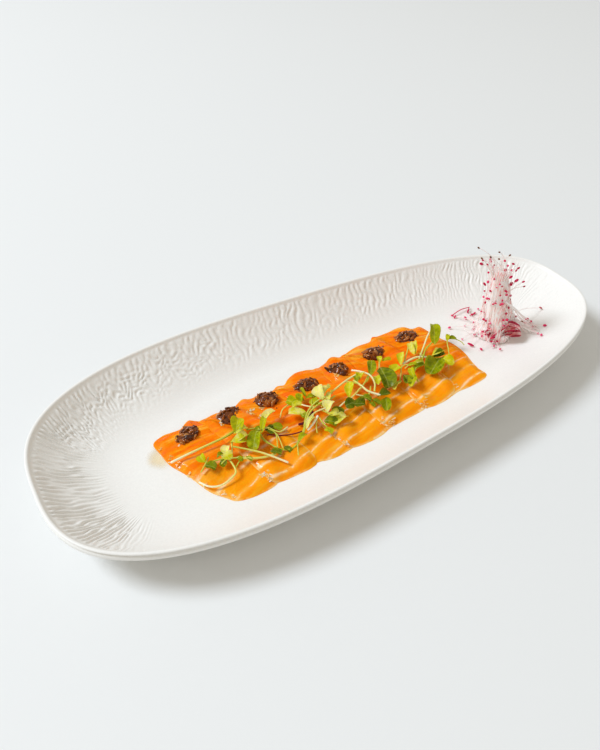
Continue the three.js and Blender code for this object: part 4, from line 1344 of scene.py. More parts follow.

# %% Leaves of the clumps
# The tone of each leaf holds painted light and shade, pale when lit and dark when in shade, as well as its
# own colour.
LEAVES = {
    "left": [
        ((-99, -8, 5.5), (-99.3, -1.7, 7), 5.8, 0.66), ((-99.5, -10.5, 5), (-95, -16, 4), 6.2, 0.3),
        ((-91, -8, 5.5), (-86, -8.5, 6), 4, 0.35), ((-90.5, -12, 6), (-89.5, -17, 4.5), 5, 0.3),
        ((-86, -9, 8), (-82, -2.8, 9.5), 5.4, 0.95), ((-88, -8, 8), (-84, -14.5, 7), 6, 0.8),
        ((-79.5, -1.5, 9), (-70, -7, 9.2), 7, 0.78), ((-77, -3, 9.2), (-66.5, -1.5, 9.8), 6.2, 0.86),
        ((-73, 3, 9.2), (-65.2, 14.5, 11.5), 7.6, 0.6), ((-74, 2.8, 9), (-64.3, 3, 9.4), 6.4, 0.86),
        ((-60.5, -1, 8.8), (-70.3, -15.2, 6), 8.6, 0.46),
        ((-55.5, 2.2, 8.2), (-42.6, 8.2, 9.6), 5.2, 0.97),
        ((-59, -4.5, 8), (-50.3, 6.3, 9.6), 4.0, 0.62), ((-62, -0.5, 8.4), (-56, -1.8, 8.2), 3.4, 0.34),
        ((-56.5, -3.5, 7), (-51.5, -8.7, 5.6), 6, 0.12),
        ((-51.5, -2.5, 6.8), (-46, -8.3, 5.4), 5, 0.42),
        ((-61.5, -20.5, 4.6), (-56.5, -25.8, 3.4), 4.6, 0.3),
        ((-53, -22, 3.8), (-51.3, -27.4, 2.4), 4, 0.28),
        ((-43.5, -22.4, 5), (-35.8, -20.2, 6), 3.6, 0.55),
        ((-82, -14, 6.6), (-79.4, -19.4, 5.2), 3.6, 0.45),
        ((-76, -16.5, 5.4), (-74.6, -22, 3.8), 2.6, 0.5),
    ],
    "middle": [
        ((-27, -3.5, 8.6), (-36.6, 2.3, 7.4), 5.4, 0.85),
        ((-27.5, 4.5, 8.8), (-32.2, 12.2, 9), 5.6, 0.55), ((-26, 5, 9.4), (-20.5, 12.4, 10), 5, 0.6),
        ((-25, 3.2, 9.5), (-32.3, 4.4, 8.6), 5.2, 0.8), ((-22.5, 6, 9.6), (-24.8, 12.6, 9.6), 4, 0.5),
        ((-19.6, 8, 9.6), (-18.3, 17.5, 13), 2.5, 0.5), ((-20.5, 2.5, 10), (-14.5, 0.5, 10), 5.4, 0.62),
        ((-21, 6.8, 10), (-13.4, 4.5, 9.6), 3.2, 0.5), ((-11, 1.5, 11.6), (-7.6, 13, 13.6), 8, 1.0),
        ((-9, 4.5, 12), (-1.4, 8.2, 12.6), 6.4, 0.95), ((-8.5, -2.2, 11.6), (-2.4, 3.6, 12), 4.6, 0.9),
        ((-15, -9.6, 11), (-7.2, -3.6, 12.4), 7.6, 1.0),
        ((-16, -12.5, 9.6), (-9.2, -16.8, 8.6), 6.6, 0.84),
        ((-11, -9.6, 8.4), (-6.2, -16.8, 6.4), 5.4, 0.3),
        ((-20.4, -15.8, 7.6), (-14.8, -22.4, 5.6), 6.8, 0.34),
        ((-17.6, -21.8, 6), (-5.6, -19.6, 6.4), 6.2, 0.86),
        ((-24.2, -22.2, 5.4), (-21.6, -27.6, 3.8), 4.8, 0.64),
        ((-33.6, -15.6, 8), (-23.8, -9.6, 10), 4.2, 0.95),
        ((-30, -3, 8.6), (-29.4, -8.6, 7.6), 4.6, 0.46), ((-19, -0.5, 10), (-14, -3.6, 9.6), 4.2, 0.7),
    ],
    "right": [
        ((5, -12, 7.6), (-2.4, -11.8, 7), 7.4, 0.2), ((3, -13, 7), (10.3, -17.2, 6), 7.8, 0.24),
        ((4.4, -6.2, 9.2), (12.6, 5, 10.8), 5.4, 0.72),
        ((11.4, -10.2, 8.2), (14.8, -17, 6.6), 4.2, 0.34),
        ((12.6, -17, 6.4), (14, -22.2, 4.6), 3.2, 0.4),
        ((15.8, -15.8, 6.8), (18.6, -22.4, 4.8), 3, 0.36),
        ((17.2, 2.6, 10.2), (19.4, 8.6, 10.8), 3.6, 0.46),
        ((19.6, 4.2, 10.6), (25, 8, 10.8), 5.2, 0.72),
        ((20.6, -15.4, 9), (30.4, -17.6, 8.4), 6.4, 0.16),
        ((24.6, -18.4, 8.4), (18, -29.8, 5.6), 5.6, 0.36),
        ((28.4, 3.6, 10), (37.6, 15.4, 12), 6.2, 0.42),
        ((27.6, -6.6, 10.6), (31.6, 1.2, 11.6), 4.6, 0.78),
        ((37.6, 5.4, 11.2), (31.4, -13.8, 8.6), 12.4, 0.28),
        ((41, -1.4, 10), (50.4, 1.2, 10.6), 7.6, 0.68), ((41, 10.6, 10.8), (44, 16.4, 12), 3.6, 0.72),
        ((43.4, 11.4, 10.8), (49.6, 9, 10.4), 3.2, 0.62), ((42.4, -11.6, 8.2), (33, -16, 7), 4.6, 0.82),
        ((48.4, -7.6, 9.2), (44.4, -16.4, 7.4), 6.8, 0.36),
        ((53.6, -12.6, 7.8), (44.4, -19.8, 6), 5.4, 0.6),
        ((52, 1.2, 9.6), (60.2, 11.8, 11.2), 4.4, 0.76),
        ((51.4, -13.6, 7.6), (55.6, -4.2, 9.4), 4.4, 0.66),
        ((66.4, 5, 10), (71.6, 17.4, 12), 4.4, 0.86), ((67.4, 5, 10), (76, 17.2, 11.8), 4.2, 0.8),
        ((56, -1.6, 9.4), (61.4, -4.6, 9), 4.4, 0.62), ((60.4, -1.2, 9.4), (67, -5.4, 8.6), 4, 0.78),
        ((55.4, -6.6, 8.4), (66.4, -6.4, 8), 3.6, 0.32),
        ((75.6, -2.6, 10), (86.4, -2.4, 10.4), 6.2, 0.82), ((75.2, -4, 9), (86, -5.2, 8), 6, 0.2),
        ((79.6, -6.4, 9.2), (61.6, -17.2, 6.4), 11, 0.36),
        ((80, -6.6, 9), (82.8, -17.6, 6.6), 5.8, 0.76), ((85.4, 6.6, 11), (99.6, 25.8, 17.5), 8.4, 0.5),
        ((95, 4.6, 10.8), (101, 10, 11.2), 2.8, 0.6), ((96.4, 6.6, 11), (102.6, 3, 10), 3.6, 0.4),
    ],
}
print("leaves:", {name: len(leaves) for name, leaves in LEAVES.items()})

# %% [markdown]
# ## The look of cress
#
# A young leaf lets light through, so it is bright yellow-green where the light shines into it
# and olive where it is turned away. Each leaf's tone paints that light and shade on the whole
# leaf, on top of the real differences between leaves. Its midrib and veins are a little paler.
# Stems are juicy and clear, nearly white at the foot. Subsurface light with a short reach gives
# both their glow.

# %% Leaf material
cress_leaf, tree = new_material("young_leaf")
# A tender leaf: soft, hardly glossy, blotched over some 3 mm, with faint slanting veins.
place = node(tree, "TexCoord").outputs["Object"]
tone = node(tree, "Attribute", {"attribute_name": "tone"}).outputs["Fac"]
on_leaf = node(tree, "SeparateXYZ", Vector=node(tree, "UVMap", {"uv_map": "grain"}))
blotch = node(tree, "TexNoise", Vector=place, Scale=350.0, Detail=3.0)
# Painted light and shade: the tone of each leaf sets how lit or shaded the whole leaf looks, on top of its
# own colour.
shade = node(tree, "Math", TIMES_PLUS, _0=node(tree, "Math", MINUS, _0=blotch, _1=0.5), _1=0.55, _2=tone)
green = node(tree, "ValToRGB", {"stops": [
    (0.0, "#344200"), (0.25, "#606C00"), (0.5, "#9EA400"), (0.75, "#D0CC0C"),
    (1.0, "#EEE88A")]}, Fac=shade)
aside = node(tree, "Math", {"operation": "ABSOLUTE"}, _0=on_leaf.outputs[1])
rib = node(tree, "MapRange", SMOOTH, Value=aside, From_Min=0.10, From_Max=0.0, To_Max=0.2)
slanting = node(tree, "Math", TIMES_PLUS, _0=aside, _1=-1.8, _2=node(tree, "Math", TIMES, _0=on_leaf, _1=5.0))
vein_wave = node(tree, "Math", {"operation": "PINGPONG"}, _0=slanting, _1=0.5)
vein = node(tree, "MapRange", SMOOTH, Value=vein_wave, From_Min=0.1, From_Max=0.0)
faint_vein = node(tree, "Math", TIMES, _0=vein, _1=0.12)
green = node(tree, "Mix", COLOURS, _0=faint_vein, _6=green, _7=linear("#DCDA70"))
green = node(tree, "Mix", COLOURS, _0=rib, _6=green, _7=linear("#E8E68C"))
leaf_bump = node(tree, "Bump", Strength=0.35, Distance=0.0005,
                 Height=node(tree, "Math", TIMES_PLUS, _0=vein, _1=-0.5, _2=blotch))
leaf_surface = node(
    tree, "BsdfPrincipled", Base_Color=green, Roughness=0.4, IOR=1.42, Normal=leaf_bump,
    Specular_IOR_Level=0.1, Subsurface_Weight=0.35, Subsurface_Radius=(0.7, 1.0, 0.05),
    Subsurface_Scale=0.0012, Coat_Weight=0.06, Coat_Roughness=0.15)
node(tree, "OutputMaterial", Surface=leaf_surface)

# %% Stem material
cress_stem, tree = new_material("young_stem")
# A juicy stem: its tone runs from white through green to crimson.
tone = node(tree, "Attribute", {"attribute_name": "tone"}).outputs["Fac"]
stem_colour = node(tree, "ValToRGB", {"stops": [
    (0.0, "#FFF8D8"), (0.25, "#E0DC6C"), (0.5, "#B4BA1C"), (0.75, "#8A1030"), (1.0, "#5E0820")]},
    Fac=node(tree, "Math", TIMES, _0=tone, _1=0.5))
stem_surface = node(
    tree, "BsdfPrincipled", Base_Color=stem_colour, Roughness=0.35, IOR=1.38,
    Specular_IOR_Level=0.4, Subsurface_Weight=0.5, Subsurface_Radius=(1.0, 1.0, 0.4),
    Subsurface_Scale=0.0012, Coat_Weight=0.2, Coat_Roughness=0.15)
node(tree, "OutputMaterial", Surface=stem_surface)

# %% Growing the clumps
SETTLING = 0.66  # share of its height that a sprig keeps
LEAST_LIFT = 0.6  # height of its lowest points over the fish
STEM_FULLNESS = 0.95  # of a stem's foot, against its tip
LEAF_FULLNESS = 1.06
LEAF_LEAN = 0.9  # how strongly the tone of a leaf decides its lean


def settled(path):
    """The clumps have sunk together under their own weight."""
    return np.asarray(path, float) * [1, 1, SETTLING] + [0, 0, LEAST_LIFT]


TOWARD_LIGHT = toward_key[:2] / np.linalg.norm(toward_key[:2])


def leaf_of(stalk, tip, width, tone):
    """A leaf in its place. Pale leaves lean to the light and dark ones away from it."""
    ends = lifted(settled([stalk, tip]))
    lean = TOWARD_LIGHT * (tone - 0.4) * LEAF_LEAN + rng.normal(0, 0.2, 2)
    cup, arch = rng.uniform(0.3, 0.85), rng.uniform(0.02, 0.12)
    return leaf(ends[0], ends[1], LEAF_FULLNESS * width, lean, cup, arch, tone)


for side_name in ("left", "middle", "right"):
    stems = []
    for path, radius, tone, tip_tone in STEMS[side_name]:
        curve = smooth_curve(lifted(settled(path)), 8 * len(path))
        stems.append(tube(curve, STEM_FULLNESS * radius, radius, tone, tip_tone))
    make_piece(f"cress_stems_{side_name}", joined(stems), cress_stem)
    leaves = [leaf_of(*values) for values in LEAVES[side_name]]
    make_piece(f"cress_leaves_{side_name}", joined(leaves), cress_leaf, [f"cress_{side_name}"])

# %% [markdown]
# ## The heap of sprouts
#
# Sprouts are clear white threads half a millimetre thick, with a crimson tip where the seed
# leaves open and here and there a brown seed coat. They were pulled up into a small tower that
# spreads over the plate at its foot. In a dense crowd of clear threads light wanders from one
# to the next, so its middle looks like one bright, pale body with streaks. That body is a
# ridged core of translucent material. Round it stand separate threads, and random ones read
# true: each starts near the foot, follows the tower's middle line at its own distance, and lets
# go at its own height. The crimson tips are what the eye picks out, so they are placed one by
# one, and each has a thread that leads to it.

# %% Sprout tower
# Places are given as an artist would measure them on the standing tower: how far to the right
# of the foot's middle, and how high. In this wide view uprights lean outwards and look longer
# towards the top, so the direction "straight up" as it looks from here is not the plate's own.
FOOT_MIDDLE = np.array([*laid([[133.4, -4.6]])[0], 8.0])
TO_THE_RIGHT = np.array([math.cos(VIEW_TURN), math.sin(VIEW_TURN), 0.0])
LOOKS_UPRIGHT = np.array([0.0, 0.0, 0.955]) - 0.2 * TO_THE_RIGHT


def on_view(right, level):
    """A point of the upright plane through the foot's middle."""
    return FOOT_MIDDLE + right * TO_THE_RIGHT + (level - FOOT_MIDDLE[2]) * LOOKS_UPRIGHT


# Middle line of the tower and its radius: right, height, radius.
TOWER_LINE = [
    (-2.6, 9, 13.7), (-2.2, 10.2, 13.5), (-1.6, 12.5, 13.3), (-0.6, 16, 13), (0.4, 22, 12.3),
    (1.2, 30, 10.8), (1.5, 40, 8.9), (2.8, 52, 8.0), (3.6, 62, 8.2), (3.8, 69, 9.2),
]
TOWER = np.array([(*on_view(right, level), radius) for right, level, radius in TOWER_LINE])
# Threads that rise along the tower, hang down at its right, lie round its foot, and stand out
# at its top.
THREADS_UP, THREADS_RIGHT, THREADS_ROUND, THREADS_OUT = 44, 26, 24, 26
THREAD_RADIUS = 0.25


def tower_at(height):
    """Middle and radius of the tower at a height."""
    return np.array([np.interp(height, TOWER[:, 2], TOWER[:, k]) for k in (0, 1, 3)])


# %% Core of the heap
CORE_SIDES, CORE_RINGS = 120, 52
CORE_FOOT, CORE_TOP = 7.4, 63.0
CORE_SHARE = 0.86  # of the tower's radius
CORE_RIDGES = (3, 5, 9, 14, 19, 23, 31, 37)  # waves round it that add up to its ridges


def heap_height(x, y):
    """Height of the plate, or of the heap's spreading foot where it covers the plate."""
    away = np.hypot(x - TOWER[0, 0], y - TOWER[0, 1])
    foot = TOWER[:4]
    return plate_height(x, y) + np.interp(-away, -CORE_SHARE * foot[:, 3], foot[:, 2] - foot[0, 2])


def core_shape():
    """The pale body of the heap: a ridged column, closed at both ends."""
    turns = np.arange(CORE_SIDES) / CORE_SIDES * 2 * np.pi
    ridge = sum(rng.uniform(0.4, 1) * np.sin(k * turns + rng.uniform(0, 6)) for k in CORE_RIDGES)
    rings = []
    for share in np.linspace(0, 1, CORE_RINGS):
        height = lerp(CORE_FOOT, CORE_TOP, share)
        x, y, radius = tower_at(max(height, 8.5))
        uneven = 1 + 0.03 * min(1, 0.3 + 4 * share) * ridge + 0.06 * np.sin(3 * turns + 8 * share)
        reach = CORE_SHARE * radius * uneven * (1 - share ** 5) ** 0.5 + 0.4
        ring_x, ring_y = x + reach * np.cos(turns), y + reach * np.sin(turns)
        floor_height = plate_height(ring_x, ring_y) + 0.2
        rings.append(np.column_stack([ring_x, ring_y, np.maximum(height, floor_height + 2.0 * share)]))
    points = np.concatenate(rings + [rings[0].mean(0)[None], rings[-1].mean(0)[None]])
    return {"points": points, "faces": tube_faces(CORE_RINGS, CORE_SIDES)}


# %% Threads
def rising_thread():
    """A path from the foot that lets go at a random height."""
    start, stop = rng.uniform(10, 20), rng.uniform(22, 68)
    heights = np.linspace(start, stop, 6)
    angle, distance = rng.uniform(0, 2 * np.pi), rng.uniform(0.84, 1.02)
    turn = rng.normal(0, 0.7)
    path = []
    for k, height in enumerate(heights):
        x, y, radius = tower_at(height)
        a = angle + turn * k / 5 + rng.normal(0, 0.16)
        reach = radius * distance * (1.0 if k < 5 else rng.uniform(0.95, 1.2))
        path.append((x + reach * math.cos(a), y + reach * math.sin(a), height))
    path[-1] = (path[-1][0], path[-1][1], path[-1][2] - rng.uniform(0, 4))
    return np.array(path)


def lying_thread(end):
    """A path from under the tower to an end on or over the plate."""
    x, y, radius = tower_at(9)
    angle = math.atan2(end[1] - y, end[0] - x) + rng.normal(0, 0.5)
    near = rng.uniform(0.1, 0.5) * radius
    start = np.array([x + near * math.cos(angle), y + near * math.sin(angle), rng.uniform(11, 18)])
    middle = (start + end) / 2 + rng.normal(0, [2.0, 2.0, 0.8]) + [0, 0, rng.uniform(-1, 3)]
    middle[2] = max(middle[2], heap_height(*middle[:2]) + 0.5)
    return np.array([start, middle, end])


def pip(end, direction, length, radius, tone):
    """A small bead at the end of a thread."""
    points, faces = SMALL_BALL
    direction = direction / np.linalg.norm(direction)
    side = np.cross(direction, [0.3, 0.5, 0.81])    # any direction that no bead has
    side /= np.linalg.norm(side)
    up = np.cross(side, direction)
    axes = np.stack([direction * length / 2, side * radius, up * radius * 0.8])
    return {"points": points @ axes + end, "faces": faces, "tone": np.full(len(points), tone)}


# %% [markdown]
# ## Tips, seeds and stems of the heap
#
# What the eye picks out is placed one by one, by how far to the right and how high it is seen.
# The line of sight then tells how deep it lies: a tip of the tower sits where that line comes
# out of the tower's body, and one that lies down sits where it meets the plate or the foot.

# %% Crimson tips
# Right, height and length.
TOWER_TIPS = [
    (-7.5, 52, 2.6), (-3.7, 46, 2), (6.7, 46, 2), (7.5, 42.5, 2.1), (4.4, 50, 1.6), (-4.5, 39, 1.8),
    (-0.3, 35, 1.8), (4.4, 34.5, 2.6), (3.1, 33.5, 1.8), (8.6, 31, 2.6), (7.1, 25.5, 2.1),
    (5.1, 19.5, 2.2), (10.3, 58, 2.8), (14.1, 55, 3.2), (18.8, 54, 2.1), (19.4, 50, 1.6),
    (6.9, 64, 2.3), (15.4, 65.5, 2.2), (11.9, 69, 2.2), (6.3, 71.5, 2.2), (-9.2, 69, 3.1),
    (-8.1, 72, 1.8), (-5.2, 68.5, 1.7), (-0.8, 68, 1.5), (13.9, 63.5, 1.8), (-7.7, 46, 1.7),
    (3.1, 42, 1.6), (0.6, 49, 1.4), (13.9, 23, 2.2), (4.5, 37.5, 1.5),
]
# Brown seed coats: right and height.
TOWER_SEEDS = [(-10.7, 82), (2.8, 78.5), (9.7, 76), (-3, 74.5), (2.5, 73), (-8.8, 73.5)]
# Right, height, length, width, tone, and the slope of the long axis in degrees.
LYING_TIPS = [
    (-19.6, 28, 3, 1.4, 0.2, 70), (-17.3, 24.5, 2.6, 2, 0.3, 20), (-15.2, 26, 2, 1.5, 0.4, 40),
    (-21.7, 21.5, 2.6, 1.8, 0.7, -50), (-29.2, 22.7, 2.6, 1.3, 0.6, 60), (-31, 24, 1.8, 1.2, 0.6, 0),
    (-33.6, 12.5, 2.1, 1.6, 0.8, 20), (-12.5, 30, 1.5, 1.2, 1, 0), (-9.9, 24.5, 2, 1.5, 0.5, 0),
    (-7.8, 27, 3.2, 1.3, 0.2, 75), (-9.9, 8.8, 2, 1.6, 0.6, 0), (-10.6, 4.2, 1.8, 1.3, 0.8, 60),
    (-12.4, 6.1, 1.8, 1.3, 0.8, 40), (-16, 5.7, 1.9, 1.6, 0.7, 50), (-15.1, 13.3, 2.4, 1, 0.9, -10),
    (-7.4, 5.7, 2, 1.4, 0.6, 20), (-16.2, 17.8, 1.6, 1.1, 1, 70), (-16.5, 11, 1.6, 1.2, 0.9, 0),
    (-10.2, 13.6, 1.7, 1.2, 0.9, 60), (-2.4, 5.7, 3.4, 2.6, 0.5, 0), (-1, 6.8, 3, 1.6, 0.5, 40),
    (-4, 6.4, 2.8, 1.6, 0.6, -40), (-2.7, 2.4, 3.2, 1.3, 0.5, 10), (-3.4, -1.2, 3, 1.3, 0.4, -8),
    (-0.4, -1.5, 3, 1.4, 0.4, 8), (-1.9, -5.5, 1.8, 1.2, 0.9, 80), (7.5, 15.3, 5, 1.5, 0.1, 0),
    (2.8, 10.6, 5, 1.7, 0.15, 55), (14.7, 12.5, 5, 1.1, 0.2, -45), (10, 5.7, 3.6, 1.5, 0.2, -55),
    (16.1, 7.1, 2.4, 1.5, 0.2, 0), (3.6, 2.4, 3.8, 2.1, 0.1, -20), (6.4, 7.6, 4, 1.3, 1.4, 45),
    (21.9, 20.8, 2.2, 1.5, 0.3, 0), (24.5, 18, 2, 1.6, 0.5, 60), (20.5, 16.6, 2.4, 1.4, 0.4, -15),
    (18.3, 18.2, 2, 1.4, 1.5, 0), (25.7, 13, 1.8, 1.5, 0.9, 20), (31.2, 31, 2.1, 1.4, 1.3, -30),
    (34.6, 14.6, 2.4, 1.8, 0.6, 0), (30, 6.9, 1.6, 1.2, 1, 0), (32.4, 5.4, 1.8, 1.5, 0.8, 60),
    (-19, -4.3, 4.6, 1.7, 0.4, -25), (-11.4, -8.9, 2.1, 1.5, 0.6, -40), (2.5, -8.9, 1.8, 1.2, 0.8, 0),
    (-25, 1.2, 1.4, 1, 1, 0), (-5.2, 14, 1.4, 1, 1, 0), (-22.5, 14, 1.4, 1, 1, 0),
    (-6, 18, 1.4, 1, 1, 0),
]
# Crimson and pink stems: right and height of both ends, radius and tone.
LYING_STEMS = [
    (-31, 24, -18.7, 31.5, 0.36, 0.9), (-18.7, 31.5, -19.9, 27, 0.35, 0.7),
    (-8.5, 21.5, -7.3, 12.5, 0.65, 0.45), (-2.6, 22, -3.2, 15, 0.5, 1.3), (6, 30, 7.5, 20, 0.6, 1.25),
    (3, 11, 14, 14, 0.6, 1.1), (3, 4, 12, 10, 0.6, 1.1), (5, 14, 11, 5, 0.6, 1.0),
    (8, 15, 16, 8, 0.6, 1.1), (4, 8, 9, 13, 0.55, 1.0), (10, 4, 16, 9, 0.55, 1.2),
    (6, 3, 13, 6, 0.55, 1.0), (9, 14, 5, 4, 0.55, 1.2),
]

# %% Following a line of sight
def on_plate(right, level, lift):
    """Where the line of sight through a point of that plane meets the plate or the heap's foot."""
    point = on_view(right, level)
    ray = (EYE - point) / (EYE - point)[2]
    for _ in range(30):
        point = point + 0.5 * ray * (heap_height(*point[:2]) + lift - point[2])
    return point


def on_tower(right, level):
    """Where the line of sight through a point of that plane comes out of the tower's body."""
    point = on_view(right, level)
    step = 0.5 * toward_eye(point)
    for _ in range(36):
        x, y, radius = tower_at(point[2])
        if math.hypot(point[0] - x, point[1] - y) > CORE_SHARE * radius + 0.6:
            break
        point = point + step
    return point


# %% Growing the heap
SEED_LENGTH = 1.9
TIP_FULLNESS = 1.12
REACH_BELOW = 14  # how far below its tip a thread is followed
TIP_THREAD = (0.8 * THREAD_RADIUS, 0.6 * THREAD_RADIUS)  # its radius at both ends

threads, pips = [], []
for number in range(THREADS_UP + THREADS_RIGHT + THREADS_ROUND + THREADS_OUT):
    if number < THREADS_UP:
        path = smooth_curve(rising_thread(), 16)
        length = rng.uniform(1.4, 2.6)
        pips.append(pip(path[-1], path[-1] - path[-3], length, 0.45 * length, rng.uniform(0.1, 1.2)))
    elif number < THREADS_UP + THREADS_RIGHT:
        end = on_plate(rng.uniform(12, 31), rng.uniform(4, 15), rng.uniform(0.4, 1.5))
        top = on_view(rng.uniform(5, 12), rng.uniform(19, 32))
        top += toward_eye(top) * rng.uniform(-4, 6)
        path = smooth_curve(np.array([top, lerp(top, end, 0.45) + [0, 0, rng.uniform(-4, 1)], end]), 14)
    elif number < THREADS_UP + THREADS_RIGHT + THREADS_ROUND:
        angle, reach = rng.uniform(0, 2 * np.pi), rng.uniform(0.8, 1.4)
        x, y, radius = tower_at(8)
        x, y = x + 1.2 * reach * radius * math.cos(angle), y + 0.9 * reach * radius * math.sin(angle)
        path = smooth_curve(lying_thread(np.array([x, y, plate_height(x, y) + rng.uniform(0.5, 2)])), 12)
    else:
        x, y, radius = tower_at(58)
        angle = rng.uniform(0, 2 * np.pi)
        outward = radius * np.array([math.cos(angle), math.sin(angle), 0])
        start = np.array([x, y, rng.uniform(48, 58)]) + 0.6 * outward
        end = start + rng.uniform(0.2, 0.8) * outward + [0, 0, rng.uniform(9, 19)]
        path = smooth_curve(np.array([start, (start + end) / 2 - 0.1 * outward, end]), 12)
    blush = rng.uniform(0, 0.6) ** 2 * 2.4
    radius = THREAD_RADIUS * rng.uniform(0.7, 1.3)
    threads.append(tube(path, radius, 0.75 * radius, 0.3 * blush, blush, sides=THREAD_SIDES))
print("threads in the crowd:", len(threads))

# %% Tips of the tower
for right, level, length in TOWER_TIPS + [(*seed, SEED_LENGTH) for seed in TOWER_SEEDS]:
    seed = (right, level) in TOWER_SEEDS
    end = on_tower(right, level)
    x, y, radius = tower_at(end[2] - REACH_BELOW)
    start = np.array([x, y, end[2] - REACH_BELOW]) + rng.normal(0, [0.3 * radius, 0.3 * radius, 2])
    path = smooth_curve([start, lerp(start, end, 0.6) + rng.normal(0, 0.8, 3) + [0, 0, 1.5], end], 10)
    threads.append(tube(path, *TIP_THREAD, 0.1, 0.5, sides=THREAD_SIDES))
    tone = rng.uniform(1.7, 2) if seed else rng.uniform(0, 0.7)
    length *= 1.0 if seed else TIP_FULLNESS
    pips.append(pip(end, path[-1] - path[-4] + rng.normal(0, 1.2, 3), length, 0.42 * length ** 0.8, tone))

# %% What lies round the foot
up_view = np.cross(TO_THE_RIGHT, forward)
for right, level, length, width, tone, slope in LYING_TIPS:
    end = on_plate(right, level, rng.uniform(0.7, 2.2))
    path = smooth_curve(lying_thread(end), 12)
    threads.append(tube(path, *TIP_THREAD, 0.1, 0.6, sides=THREAD_SIDES))
    turn = math.radians(slope)
    pointing = math.cos(turn) * TO_THE_RIGHT + math.sin(turn) * up_view
    pips.append(pip(end, pointing, 1.15 * length, 0.62 * width, tone))
for right, level, right_end, level_end, radius, tone in LYING_STEMS:
    ends = [on_plate(right, level, 1.6), on_plate(right_end, level_end, 1.6)]
    middle = (ends[0] + ends[1]) / 2 + rng.normal(0, 0.4, 3) + [0, 0, 1.2]
    stem = tube(smooth_curve([ends[0], middle, ends[1]], 12), radius, 0.8 * radius, tone / 2, tone / 2)
    (threads if tone >= 1.0 else pips).append(stem)
print("threads:", len(threads), "tips:", len(pips))

# %% Leaves and a thick stem at the foot
# The young leaves at the right of the foot lean on it: right and height of both ends, and width.
# They stand out from the heap's middle towards the eye, their tips a little further.
FOOT_LEAF_STALKS, FOOT_LEAF_TIPS = (13, 15), (14, 16.5)
FOOT_LEAVES = [
    (0.8, 6, 10, 16, 6), (6, 15.5, 17, 11, 6), (1.5, 2.5, 12, 7.5, 6.5), (8, 5.5, 18, 6.5, 5.5),
    (4.5, 9.5, 14, 11.5, 6), (2, 1.2, 8, 9, 5), (-6, 1.0, 0, 8.5, 4.5), (-9, 5.5, -3.5, 11, 3.5)]
foot_leaves = []
for right, level, right_end, level_end, width in FOOT_LEAVES:
    base, tip = on_view(right, level), on_view(right_end, level_end)
    nearer = toward_eye(base)
    base = base + rng.uniform(*FOOT_LEAF_STALKS) * nearer
    tip = tip + rng.uniform(*FOOT_LEAF_TIPS) * nearer
    foot_leaves.append(leaf(base, tip, width, rng.normal(0, 0.3, 2), 0.4, 0.12, rng.random()))

# One thick white stem leans over the right side, pink at its end.
stem_ends = [on_view(6.8, 36), on_view(20.4, 20.6)]
stem_ends = [end + 9 * (EYE - end) / np.linalg.norm(EYE - end) for end in stem_ends]
stem_path = smooth_curve([stem_ends[0], (stem_ends[0] + stem_ends[1]) / 2 + [0, 0, 0.8], stem_ends[1]], 14)
threads.append(tube(stem_path, 0.8, 0.65, 0.0, 0.3))
pips.append(pip(stem_ends[1], stem_path[-1] - stem_path[-2], 2.6, 0.7, 0.9))
print("foot leaves:", len(foot_leaves))

# %% [markdown]
# ## The look of sprouts
#
# A sprout is nearly all water, so one thread is clear, and a crowd of them passes light from one
# to the next until it looks white and lit from inside. Clear threads of glass would need many
# bounces of light for that. Subsurface light gives the same glow with far less work: its reach
# is short in a single thread and long in the crowded core. Tips and seed coats share one ramp,
# and each bead carries its own tone.

# %% Thread material
sprout_thread, tree = new_material("sprout_thread")
# Clear, juicy and nearly white, with a touch of pink towards some tips.
tone = node(tree, "Attribute", {"attribute_name": "tone"}).outputs["Fac"]
thread_colour = node(tree, "ValToRGB", {"stops": [
    (0.0, "#FFF8F4"), (0.5, "#FFE6E2"), (1.0, "#F7B4C0")]}, Fac=tone)
thread_surface = node(
    tree, "BsdfPrincipled", Base_Color=thread_colour, Roughness=0.3, IOR=1.36,
    Subsurface_Weight=0.3, Subsurface_Radius=(1.0, 0.9, 0.9), Subsurface_Scale=0.0003)
node(tree, "OutputMaterial", Surface=thread_surface)

# %% Crowd material
sprout_crowd, tree = new_material("crowded_sprouts")
# Threads pressed together: streaks a millimetre wide and 30 long from white to pink, with
# patches of 8 mm, lit from within.
place = node(tree, "TexCoord").outputs["Object"]
along = node(tree, "Mapping", Vector=place, Scale=(1.0, 1.0, 0.035))
streak = node(tree, "TexNoise", Vector=along, Scale=1000.0, Detail=3.0, Roughness=0.6)
patch = node(tree, "TexNoise", Vector=place, Scale=120.0, Detail=2.0)
shade = node(tree, "Math", TIMES_PLUS, _0=node(tree, "Math", MINUS, _0=patch, _1=0.5), _1=0.6, _2=streak)
crowd_colour = node(tree, "ValToRGB", {"stops": [
    (0.3, "#F6A8AC"), (0.41, "#FCD2CC"), (0.5, "#FFEEE8"), (0.6, "#FFFAF6")]}, Fac=shade)
crowd_bump = node(tree, "Bump", Strength=0.2, Distance=0.0005, Height=streak)
crowd_surface = node(
    tree, "BsdfPrincipled", Base_Color=crowd_colour, Roughness=0.45, IOR=1.36, Normal=crowd_bump,
    Specular_IOR_Level=0.3, Subsurface_Weight=0.7, Subsurface_Radius=(1.0, 0.92, 0.9), Subsurface_Scale=0.004)
node(tree, "OutputMaterial", Surface=crowd_surface)

# %% Foot leaf and tip materials
foot_leaf, tree = new_material("pink_foot_leaf")
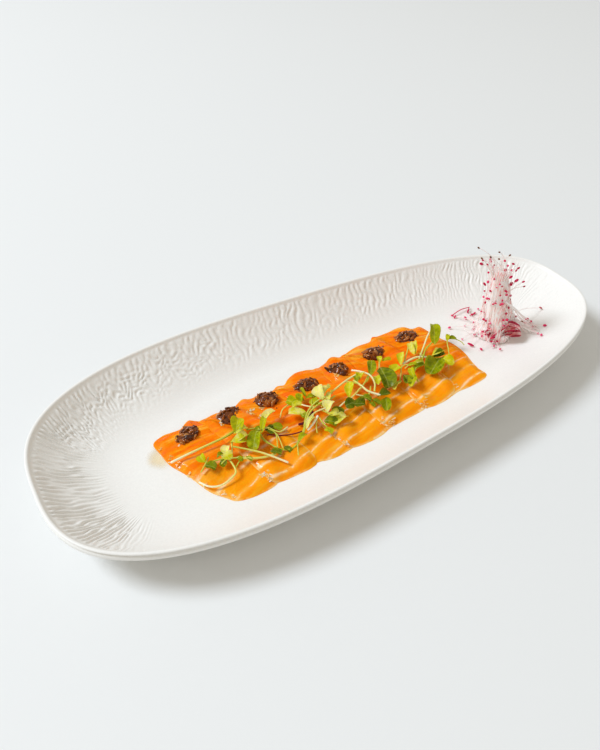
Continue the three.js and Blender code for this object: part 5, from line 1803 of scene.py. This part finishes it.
# A young beet leaf is clear pink, mottled over 2 mm, and crimson along its sides.
on_leaf = node(tree, "SeparateXYZ", Vector=node(tree, "UVMap", {"uv_map": "grain"}))
place = node(tree, "TexCoord").outputs["Object"]
aside = node(tree, "Math", {"operation": "ABSOLUTE"}, _0=on_leaf.outputs[1])
rim_share = node(tree, "MapRange", SMOOTH, Value=aside, From_Min=0.3, From_Max=0.5)
mottle = node(tree, "TexNoise", Vector=place, Scale=500.0, Detail=3.0)
pink = node(tree, "ValToRGB", {"stops": [(0.3, "#D8707E"), (0.5, "#EBA8A6"), (0.7, "#F6D4CC")]}, Fac=mottle)
pink = node(tree, "Mix", COLOURS, _0=rim_share, _6=pink, _7=linear("#A50E38"))
foot_leaf_surface = node(
    tree, "BsdfPrincipled", Base_Color=pink, Roughness=0.35, IOR=1.4, Subsurface_Weight=0.5,
    Subsurface_Radius=(1.0, 0.4, 0.4), Subsurface_Scale=0.001)
node(tree, "OutputMaterial", Surface=foot_leaf_surface)

sprout_pip, tree = new_material("crimson_seed_leaf")
# Tender seed leaves from crimson to pink, and at the end of the ramp brown seed coats.
tone = node(tree, "Attribute", {"attribute_name": "tone"}).outputs["Fac"]
pip_colour = node(tree, "ValToRGB", {"stops": [
    (0.0, "#B8083A"), (0.25, "#DC1856"), (0.5, "#EE5C88"), (0.75, "#9A5A30"), (1.0, "#6A4028")]},
    Fac=node(tree, "Math", TIMES, _0=tone, _1=0.5))
pip_surface = node(
    tree, "BsdfPrincipled", Base_Color=pip_colour, Roughness=0.4, IOR=1.42, Specular_IOR_Level=0.3,
    Subsurface_Weight=0.2, Subsurface_Radius=(1.0, 0.2, 0.4), Subsurface_Scale=0.001)
node(tree, "OutputMaterial", Surface=pip_surface)

# %% Pieces of the heap
make_piece("sprout_core", core_shape(), sprout_crowd)
make_piece("sprout_foot_leaves", joined(foot_leaves), foot_leaf)
make_piece("sprout_threads", joined(threads), sprout_thread, ["sprout_heap"])
make_piece("sprout_tips", joined(pips), sprout_pip)
